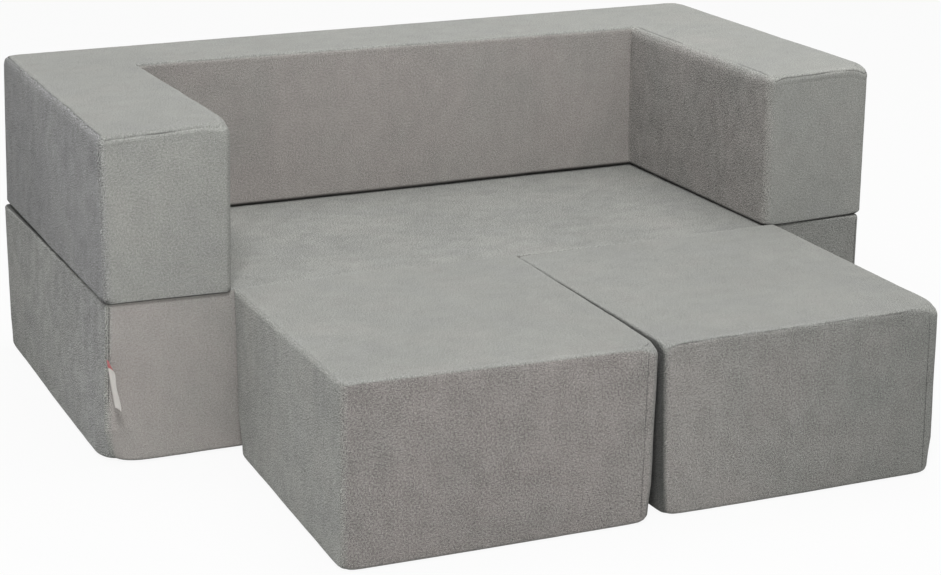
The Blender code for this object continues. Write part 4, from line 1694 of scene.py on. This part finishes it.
@dataclass(frozen=True)
class CoilZip:
    """A coil zip's tapes and teeth; slider and pull stay as the CAD has them.

    The loop gives a tooth's course from side to side: how far across and outward it is, and how thick.
    """

    body: str
    pitch: float = 2.1 * MM
    tooth: float = 0.75 * MM
    tooth_flatness: float = 0.8
    tooth_lean: float = 0.35
    tooth_sides: int = 6
    loop_rise: float = 0.8
    loop: tuple[Triple, ...] = (
        (-1.0, -0.35, 0.5), (-0.7, 0.25, 0.9), (-0.1, 0.42, 1.0), (0.42, 0.30, 1.0), (0.72, -0.1, 0.6),
    )
    tape_steps: int = 160
    tape_rows: int = 6
    ripple: float = 0.25 * MM
    ripple_cell: float = 0.024
    ripple_seed: int = 71
    edge_drop: float = 0.3 * MM

    def build(self, palette: Palette) -> None:
        """Makes the tapes and the coil.

        Args:
            palette: The sofa's finishes.
        """
        for side in ("upper", "lower"):
            self.tape(f"{self.body}_zip_{side}_tape", palette)
        self.coil(f"{self.body}_zip_chain", palette)
        LOG.info("%s zip: tapes and coil", self.body)

    def tape(self, node: str, palette: Palette) -> None:
        """Makes one tape as a thin slab that ripples a little along its length.

        Args:
            node: The CAD node that it stands for.
            palette: The sofa's finishes.
        """
        low, high = (np.array(corner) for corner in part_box(node))
        along = np.linspace(low[0], high[0], self.tape_steps)
        grid = upright_grid(along, np.linspace(low[2], high[2], self.tape_rows))
        ripple = grid_noise(grid, self.ripple_cell, self.ripple_seed)
        edge = np.abs(np.linspace(-1.0, 1.0, self.tape_rows))[None] ** 4
        grid[..., 1] = high[1] + self.ripple * ripple - self.edge_drop * edge
        obj = slab(grid[:, ::-1], REARWARD, high[1] - low[1]).make(f"{node}_cloth", palette.tape)
        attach(obj, self.body)
        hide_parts(node)

    def coil(self, node: str, palette: Palette) -> None:
        """Makes the closed coil as a row of interlocked loops, each over one side and half of the other.

        Args:
            node: The CAD node that it stands for.
            palette: The sofa's finishes.
        """
        low, high = (np.array(corner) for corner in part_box(node))
        centre, half, rise = (low + high) / 2.0, (high[2] - low[2]) / 2.0, (high[1] - low[1]) / 2.0
        bars = Bars(self.tooth_sides)
        radii = [(self.tooth * thick, self.tooth * self.tooth_flatness * thick) for _, _, thick in self.loop]
        for n in range(int((high[0] - low[0]) / self.pitch)):
            side = 1.0 if n % 2 else -1.0
            start = np.array([low[0] + (n + 0.5) * self.pitch, centre[1], centre[2]])
            reach = np.array([side * self.tooth_lean * self.pitch, 0.0, side * half])
            lift = REARWARD * rise * self.loop_rise
            centres = [start + reach * share + lift * height for share, height, _ in self.loop]
            bars.add(centres, REARWARD, radii)
        obj = bars.make(f"{self.body}_zip_coil", palette.coil)
        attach(obj, self.body)
        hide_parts(node)


@dataclass(frozen=True)
class HingeStrip:
    """The cloth strip sewn behind both blocks, on which the back unit folds down."""

    wall_y: float = 353.1 * MM
    outer_y: float = 358.5 * MM
    flat_width: float = 85.0 * MM
    bulge: float = 4.6 * MM
    bulge_reach: float = 17.0 * MM
    thickness: float = 1.1 * MM
    seam_inset: float = 6.0 * MM
    fold_reach: float = 5.0 * MM
    ripple: float = 0.5 * MM
    wall_ripple: float = 0.2 * MM
    ripple_cell: float = 0.060
    ripple_seed: int = 91
    thread_rise: float = 0.1 * MM
    thread_margin: int = 4
    long_steps: int = 150
    cross_steps: int = 30

    def build(self, palette: Palette, covers: list[bpy.types.Object]) -> None:
        """Makes the strip and its two stitched rows.

        Args:
            palette: The sofa's finishes.
            covers: The two covers that it is sewn to; not used.
        """
        low, lower_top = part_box("hinge_flap_lower")
        upper_foot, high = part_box("hinge_flap_upper")
        fold = (lower_top.z + upper_foot.z) / 2.0
        xs, zs = np.linspace(low.x, high.x, self.long_steps), np.linspace(low.z, high.z, self.cross_steps)
        grid = self.cloth_grid(xs, zs, fold)
        strip = slab(grid[:, ::-1], REARWARD, self.thickness).make("hinge_strip", palette.lining)
        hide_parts("hinge_flap_lower", "hinge_flap_upper")
        stitching = Stitching()
        for body, level in (("base", low.z + self.seam_inset), ("back_unit", high.z - self.seam_inset)):
            near = int(np.argmin(np.abs(zs - level)))
            line = grid[self.thread_margin:-self.thread_margin, near] + REARWARD * self.thread_rise
            line[:, 2] = level
            stitches = stitching.row(line, np.tile(REARWARD, (len(line), 1)))
            stitching.make(f"hinge_stitches_{body}", body, stitches, palette)
        start, end = ((0.0, self.outer_y, fold + reach) for reach in (-self.fold_reach, self.fold_reach))
        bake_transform(strip)
        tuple(start)
        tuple(end)
        LOG.info("hinge strip: %d x %d points", self.long_steps, self.cross_steps)

    def cloth_grid(self, xs: np.ndarray, zs: np.ndarray, fold: float) -> np.ndarray:
        """Places the strip's outer face, which bulges over the fold and ripples.

        Args:
            xs: Places along the strip.
            zs: Levels up the strip.
            fold: Level of the fold.

        Returns:
            A grid of points.
        """
        grid = upright_grid(xs, zs)
        ripple = grid_noise(grid, self.ripple_cell, self.ripple_seed)
        free = bell(zs, fold, self.bulge_reach)[None] * (self.bulge + self.ripple * ripple)
        grid[..., 1] = self.wall_y + free + self.wall_ripple * (1.0 + ripple)
        return grid


@dataclass(frozen=True)
class Label:
    """The bare ribbon label, pinched into the left front seam at its head and hanging free."""

    head: Triple = (-0.7085, -0.3475, 0.1890)
    length: float = 76.0 * MM
    head_width: float = 12.0 * MM
    width: float = 20.0 * MM
    open_share: float = 0.28
    drift: float = 5.0 * MM
    drift_power: float = 1.3
    lean: float = 20.0 * MM
    turn: float = math.radians(15.0)
    thickness: float = 0.55 * MM
    band: float = 13.0 * MM
    band_ease: float = 0.01
    curl: float = 1.6 * MM
    flutter: float = 0.8 * MM
    sag: float = 2.5 * MM
    sag_middle: float = 0.3
    long_steps: int = 40
    cross_steps: int = 9

    def build(self, palette: Palette) -> None:
        """Makes the ribbon.

        Args:
            palette: The sofa's finishes.
        """
        steps, across = np.linspace(0.0, 1.0, self.long_steps), np.linspace(0.0, 1.0, self.cross_steps)
        t, w = steps[:, None], across[None]
        opened = smooth(0.0, self.open_share, t)
        width = self.head_width + (self.width - self.head_width) * opened
        curl = self.curl * np.sin(np.pi * w) * opened + self.flutter * np.sin(3.0 * np.pi * t) * w
        turned = self.turn * opened
        grid = np.zeros((self.long_steps, self.cross_steps, 3))
        grid[..., 0] = self.head[0] + self.drift * t**self.drift_power + width * w * np.sin(turned) + curl
        grid[..., 1] = self.head[1] - self.lean * t - width * w * np.cos(turned)
        grid[..., 2] = self.head[2] - self.length * t - self.sag * w * (t - self.sag_middle)
        parts = slab(grid, np.array([-1.0, 0.0, 0.0]), self.thickness)
        share, end = np.tile(np.repeat(steps, self.cross_steps), 2), self.band / self.length
        parts.fields = {TONE_FIELD: smooth(end + self.band_ease, end - self.band_ease, share)}
        obj = parts.make("label_ribbon", palette.label)
        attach(obj, "base")
        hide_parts("base_label")
        LOG.info("label: bare ribbon, %.0f mm long", self.length / MM)


@dataclass(frozen=True)
class Lamp:
    """A square area lamp."""

    name: str
    place: Triple
    size: float
    power: float


@dataclass(frozen=True)
class Studio:
    """Floor, light and camera. None of it belongs to the sofa."""

    focal_px: float = 2220.0
    frame_width: float = 941.0
    sensor: float = 36.0
    clip_end: float = 100.0
    place: Triple = (-1.5486, -3.6706, 1.3577)
    yaw: float = 0.41902
    pitch: float = 0.29944
    roll: float = -0.00725
    lamps: tuple[Lamp, ...] = (
        Lamp("key", (-1.8, -3.7, 4.3), 1.1, 165.0),
        Lamp("overhead", (0.7, 0.2, 4.5), 3.6, 88.0),
    )
    aim: Triple = (0.0, -0.15, 0.3)
    sky: float = 0.48
    floor_half: float = 14.0
    floor_drop: float = 0.4 * MM

    def build(self) -> None:
        """Sets up the view settings, the world, the floor, the lamps and the camera."""
        scene = bpy.context.scene
        scene.view_settings.view_transform = "Standard"
        self.add_world(scene)
        signs = ((-1.0, -1.0), (1.0, -1.0), (1.0, 1.0), (-1.0, 1.0))
        points = np.array([(x * self.floor_half, y * self.floor_half, -self.floor_drop) for x, y in signs])
        MeshParts(points, [(0, 1, 2, 3)]).make("studio_floor", Backdrop().make())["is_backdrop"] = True
        for lamp in self.lamps:
            self.add_lamp(scene, lamp)
        self.add_camera(scene)

    def add_world(self, scene: bpy.types.Scene) -> None:
        """Makes a plain soft surround that the camera sees as white.

        Args:
            scene: The scene.
        """
        scene.world = bpy.data.worlds.new("studio_surround")
        graph = Graph(scene.world)
        graph.tree.nodes.clear()
        dim, white = (
            graph.node("ShaderNodeBackground", {"Color": WHITE, "Strength": strength}).outputs[0]
            for strength in (self.sky, 1.0)
        )
        mixed = graph.mixed_shader(graph.seen_directly(), dim, white)
        graph.node("ShaderNodeOutputWorld", {"Surface": mixed})

    def add_lamp(self, scene: bpy.types.Scene, lamp: Lamp) -> None:
        """Hangs a lamp that looks at the middle of the sofa.

        Args:
            scene: The scene.
            lamp: The lamp.
        """
        data = bpy.data.lights.new(lamp.name, "AREA")
        data.shape = "SQUARE"
        data.size = lamp.size
        data.energy = lamp.power
        hung = bpy.data.objects.new(lamp.name, data)
        hung.location = lamp.place
        hung.rotation_euler = (Vector(self.aim) - Vector(lamp.place)).to_track_quat("-Z", "Y").to_euler()
        scene.collection.objects.link(hung)

    def add_camera(self, scene: bpy.types.Scene) -> None:
        """Sets the camera where the photograph was taken from.

        Args:
            scene: The scene.
        """
        reach, drop = math.cos(self.pitch), -math.sin(self.pitch)
        forward = Vector((math.sin(self.yaw) * reach, math.cos(self.yaw) * reach, drop))
        level = Vector((math.cos(self.yaw), -math.sin(self.yaw), 0.0))
        down = forward.cross(level)
        right = math.cos(self.roll) * level + math.sin(self.roll) * down
        down = -math.sin(self.roll) * level + math.cos(self.roll) * down
        data = bpy.data.cameras.new("photo_camera")
        data.sensor_width = self.sensor
        data.lens = self.sensor * self.focal_px / self.frame_width
        data.clip_end = self.clip_end
        camera = bpy.data.objects.new("photo_camera", data)
        turn = Matrix((right, -down, -forward)).transposed()
        camera.matrix_world = Matrix.Translation(self.place) @ turn.to_4x4()
        scene.collection.objects.link(camera)
        scene.camera = camera


@dataclass(frozen=True)
class OttomanLook:
    """What sets one ottoman apart from the other.

    Tone, hue, seam and far are those of its front wall, and side is its left wall.
    """

    name: str
    left: float
    seed: int
    tone: float
    hue: float
    seam: float
    far: Triple
    side: Panel
    edge_radius: float
    soft_tops: dict[int, float]
    rim_moves: Moves
    foot_moves: Moves


@dataclass
class Sofa:
    """The whole sofa: four covers, their zips, the hinge strip and the label."""

    frame: dict[str, Any]
    palette: Palette
    half: float = 0.710
    front: float = -0.3525
    rear: float = 0.3525
    height: float = 0.280
    zip_level: float = 52.0 * MM
    zip_margin: float = 0.070
    cloth_words: tuple[str, ...] = ("foam", "panel", "band")
    block: Panel = Panel(radius=4.5 * MM, seam_angle=66.0, seam=0.2, foot_radius=8.0 * MM)
    base_stitch: float = 4.8 * MM
    base_seam_start: float = 0.095
    base_stitch_start: float = 0.110
    arm: float = 0.210
    back: float = 0.195
    back_gap: float = 1.8 * MM
    back_sink: float = 5.0 * MM
    back_zip_level: float = 74.6 * MM
    ottoman_width: float = 0.498
    ottoman_depth: float = 0.508
    ottoman_rear: float = -0.3645
    ottoman_radius: float = 6.0 * MM
    ottoman_seam: float = -17.0 * MM
    ottomans: tuple[OttomanLook, ...] = (
        OttomanLook(
            name="left_ottoman",
            left=-0.494,
            seed=3,
            tone=0.835,
            hue=0.9,
            seam=0.15,
            far=(0.89, 2.7, 0.9),
            side=Panel(tone=1.02, grain=3.4, radius=9.0 * MM, seam_angle=34.0, seam=0.3, roll=0.9),
            edge_radius=12.0 * MM,
            soft_tops={0: 6.0 * MM, 1: 16.0 * MM, 2: 6.0 * MM, 3: 6.0 * MM},
            rim_moves={0: (-9, 3, 11), 1: (7, -9, 4), 2: (8, 8, 8), 3: (0, 12, 4)},
            foot_moves={0: (-15, -7, 0), 1: (-3, -16, 0), 2: (0, -2, 0), 3: (0, -3, 0)},
        ),
        OttomanLook(
            name="right_ottoman",
            left=0.022,
            seed=4,
            tone=0.95,
            hue=0.7,
            seam=0.7,
            far=(0.745, 2.1, 0.0),
            # Its left wall's low tone is painted shade, for the narrow gap beside the other ottoman.
            side=Panel(tone=0.38, grain=3.4, radius=4.5 * MM, seam_angle=66.0, seam=0.3),
            edge_radius=6.0 * MM,
            soft_tops={0: 15.0 * MM, 1: 18.0 * MM, 2: 6.0 * MM, 3: 6.0 * MM},
            rim_moves={0: (0, 0, 3), 1: (2, -4, 5), 2: (5, 4, 9), 3: (-7, 7, 4)},
            foot_moves={0: (5, -6, 0), 1: (2, -12, 0), 2: (0, -1, 0), 3: (0, -2, 0)},
        ),
    )

    def build(self) -> None:
        """Builds every piece in order."""
        covers = [self.build_base(), self.build_back_unit()]
        for look in self.ottomans:
            self.build_ottoman(look)
        for body in ("base", "back_unit", "left_ottoman", "right_ottoman"):
            CoilZip(body).build(self.palette)
        self.dress_metal()
        HingeStrip().build(self.palette, covers)
        Label().build(self.palette)

    def dress_metal(self) -> None:
        """Gives the sliders and pulls of the CAD their metal."""
        for name, node in self.frame["nodes"].items():
            if name.endswith(("_slider", "_pull")):
                node.data.materials.clear()
                node.data.materials.append(self.palette.metal)
                LOG.info("%s: zip metal", name)

    def cloth_nodes(self, body: str) -> tuple[str, ...]:
        """Lists the foam and cloth nodes of a body."""
        members = self.frame["record"]["behaviour"]["bodies"][body]
        return tuple(name for name in members if name.endswith(self.cloth_words))

    def build_base(self) -> bpy.types.Object:
        """Makes the long block that people sit on.

        Returns:
            Its cover.
        """
        half, front, rear = self.half, self.front, self.rear
        front_wall = replace(
            self.block, tone=1.31, grain=1.1, hue=0.9, seam=0.0, radius=2.0 * MM, far=(0.83, 2.2, 0.0)
        )
        # rim_shade paints shade onto the left wall's upper roll, where the back unit stands on it.
        left_wall = replace(
            self.block, tone=1.01, grain=5.6, hue=-0.6, radius=6.0 * MM, seam_angle=40.0, rim_shade=0.9,
            far=(0.78, 5.6, 0.1),
        )
        seam = UprightSeam(0, -2.0 * MM, stitch=self.base_stitch, shade=0.6, start=self.base_seam_start)
        cover = SoftCover(
            name="base_cover",
            body="base",
            stands_for=self.cloth_nodes("base"),
            outline=block_plan(-half, half, front, rear),
            floor=0.0,
            rim=self.height,
            crown=0.5 * MM,
            crown_reach=90.0 * MM,
            zip_edge=2,
            zip_level=self.zip_level,
            zip_reach=half - self.zip_margin,
            seed=1,
            top=Panel(tone=1.04, grain=2.8),
            walls=(front_wall, replace(self.block, tone=0.95, radius=2.5 * MM), self.block, left_wall),
            seams=(seam, replace(seam, corner=1, offset=-0.5 * MM, stitch=-self.base_stitch)),
            soft_top=4.0 * MM,
            soft_bottom=14.0 * MM,
            balls={0: 68.0 * MM},
            rim_moves={0: (5, 6, 2), 1: (4, 0, 3), 3: (-5, 0, -5)},
            foot_moves={0: (-7, 13, 3), 1: (4, 0, 0), 3: (-5, 0, 0)},
        )
        obj = cover.build(self.palette)
        rows = tuple((line.corner, line.offset + line.stitch) for line in cover.seams)
        self.stitch_upright(cover, "base_stitches", rows, self.base_stitch_start)
        return obj

    def build_back_unit(self) -> bpy.types.Object:
        """Makes the U of back and arms.

        Returns:
            Its cover.
        """
        half, front, rear = self.half, self.front, self.rear
        arm, inner = half - self.arm, rear - self.back
        left_arm = [(-half, front), (-arm, front), (-arm, inner)]
        right_arm = [(arm, inner), (arm, front), (half, front)]
        plan = Outline(
            left_arm + right_arm + [(half, rear), (-half, rear)],
            [(0, 4), (7, 1), (6, 2), (5, 3)],
            (1, 4, 5, 0),
            inner_radius=5.0 * MM,
            radii={0: 13.0 * MM, 4: 16.0 * MM},
        )
        seam = UprightSeam(0, -2.0 * MM, depth=0.6 * MM, shade=0.45)
        inner_seam = UprightSeam(3, 0.0, shade=0.5)
        cover = SoftCover(
            name="back_unit_cover",
            body="back_unit",
            stands_for=self.cloth_nodes("back_unit"),
            outline=plan,
            floor=self.height + self.back_gap,
            rim=self.height - self.back_sink,
            crown=2.5 * MM,
            crown_reach=84.0 * MM,
            zip_edge=6,
            zip_level=self.back_zip_level,
            zip_reach=half - self.zip_margin,
            seed=2,
            top=Panel(tone=1.02, grain=1.5, far=(1.25, 1.5, 0.0)),
            walls=self.back_unit_walls(),
            seams=(
                replace(seam, kink=9.0 * MM), replace(seam, corner=5, offset=2.0 * MM),
                inner_seam, replace(inner_seam, corner=2),
            ),
            seam_fades={0: 0.5, 4: 0.9},
            soft_tops={5: 19.0 * MM, 1: 24.0 * MM},
            soft_bottom=9.0 * MM,
            soft_bottoms={0: 3.0 * MM, 1: 3.0 * MM},
            ball=0.0,
            low_rings=6,
            rim_moves={
                1: (11, 0, 9), 2: (0, 0, 7), 3: (0, 0, 4), 4: (3, -3, 2),
                5: (7, 0, 5), 6: (0, 0, 9), 7: (9, 0, 0),
            },
            foot_moves={
                0: (0, 0, -1), 1: (4, -3, -4), 2: (0, -9, -2), 3: (0, -5, 1),
                4: (5, -7, 0), 5: (8, 0, 4), 7: (0, 0, -3),
            },
        )
        return cover.build(self.palette)

    def back_unit_walls(self) -> tuple[Panel, ...]:
        """Lists the walls of the U.

        Returns:
            The left arm's front and inner side, the back, the right arm's inner side, front and outer side,
            the rear, and the left arm's outer side.
        """
        # The foot shades paint shade onto the lower rolls, where the U stands on the base.
        arm = Panel(
            tone=1.03, grain=1.35, radius=7.0 * MM, seam_angle=72.0, foot_radius=5.0 * MM, foot_shade=1.0
        )
        outer = Panel(tone=0.95, grain=1.8, radius=9.0 * MM, seam_angle=60.0, seam=0.8, foot_shade=0.6)
        side = replace(
            outer, tone=0.91, grain=5.4, hue=-1.0, radius=14.0 * MM, seam_angle=26.0, foot_shade=1.25
        )
        back = Panel(tone=1.09, grain=1.5, hue=0.9, seam_angle=60.0, seam=0.25, foot_shade=1.0)
        inner = replace(side, grain=3.8, hue=0.7, radius=20.0 * MM, seam=0.7, foot_radius=9.0 * MM)
        return (
            replace(
                arm, tone=1.17, grain=1.6, radius=12.0 * MM, seam_angle=62.0, seam=0.9, foot_radius=4.0 * MM,
                foot_shade=0.9,
            ),
            replace(arm, tone=0.95, grain=2.0, hue=0.3, radius=13.0 * MM, seam_angle=30.0, seam=0.8),
            replace(back, far=(1.22, 1.5, 0.9)),
            replace(inner, foot_shade=1.2, roll=1.0),
            arm,
            replace(outer, foot_radius=7.0 * MM),
            replace(outer, tone=1.0, seam_angle=50.0, foot_radius=6.0 * MM),
            replace(side, roll=0.05, far=(0.63, 5.4, -0.8)),
        )

    def build_ottoman(self, look: OttomanLook) -> bpy.types.Object:
        """Makes one of the two loose blocks in front.

        Args:
            look: Which of them, and how it looks.

        Returns:
            Its cover.
        """
        name, left = look.name, look.left
        right, rear = left + self.ottoman_width, self.ottoman_rear
        front = rear - self.ottoman_depth
        radii = {0: look.edge_radius, 2: self.ottoman_radius, 3: self.ottoman_radius}
        cover = SoftCover(
            name=f"{name}_cover",
            body=name,
            stands_for=self.cloth_nodes(name),
            outline=block_plan(left, right, front, rear, radii=radii),
            floor=0.0,
            rim=self.height,
            crown=4.0 * MM,
            crown_reach=110.0 * MM,
            zip_edge=2,
            zip_level=self.zip_level,
            zip_reach=self.ottoman_width / 2.0 - self.zip_margin,
            seed=look.seed,
            top=Panel(tone=1.035, grain=1.6),
            walls=(
                replace(self.block, tone=look.tone, grain=2.5, hue=look.hue, seam=look.seam, far=look.far),
                # The right wall's low tone is painted shade, for the narrow gap between the ottomans.
                replace(self.block, tone=0.6),
                replace(self.block, seam=0.0),
                look.side,
            ),
            seams=(UprightSeam(1, self.ottoman_seam, depth=0.7 * MM, shade=0.45),),
            seam_fades={1: 0.8},
            soft_tops=look.soft_tops,
            soft_bottom=12.0 * MM,
            rim_moves=look.rim_moves,
            foot_moves=look.foot_moves,
        )
        obj = cover.build(self.palette)
        self.stitch_upright(cover, f"{name}_stitches", ((1, self.ottoman_seam),), 0.0)
        return obj

    def stitch_upright(
        self, cover: SoftCover, name: str, places: tuple[tuple[int, float], ...], start: float
    ) -> None:
        """Sews rows of stitches up a cover's walls.

        Args:
            cover: The cover.
            name: Name of the thread.
            places: Corner and distance from its middle of each row.
            start: Height over the floor at which the rows start.
        """
        stitching = Stitching()
        found = []
        low, high = (cover.ring_number(zone, RIGHT_ANGLE) for zone in (Zone.FOOT, Zone.RIM))
        for corner, offset in places:
            line, normals = (values[low:high] for values in cover.upright_line(corner, offset))
            kept = line[:, 2] > start
            found += stitching.row(line[kept], normals[kept])
        stitching.make(name, cover.body, found, self.palette)


def clear_startup_scene() -> None:
    """Removes whatever a fresh Blender file starts with."""
    for obj in list(bpy.data.objects):
        bpy.data.objects.remove(obj)


def main() -> None:
    """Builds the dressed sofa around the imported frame."""
    logging.basicConfig(level=logging.INFO, format="%(name)s: %(message)s")
    clear_startup_scene()
    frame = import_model()
    cad_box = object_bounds()
    Studio().build()
    Sofa(frame, Palette()).build()
    [[list(map(float, corner)) for corner in box] for box in (cad_box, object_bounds())]


if __name__ == "__main__":
    main()
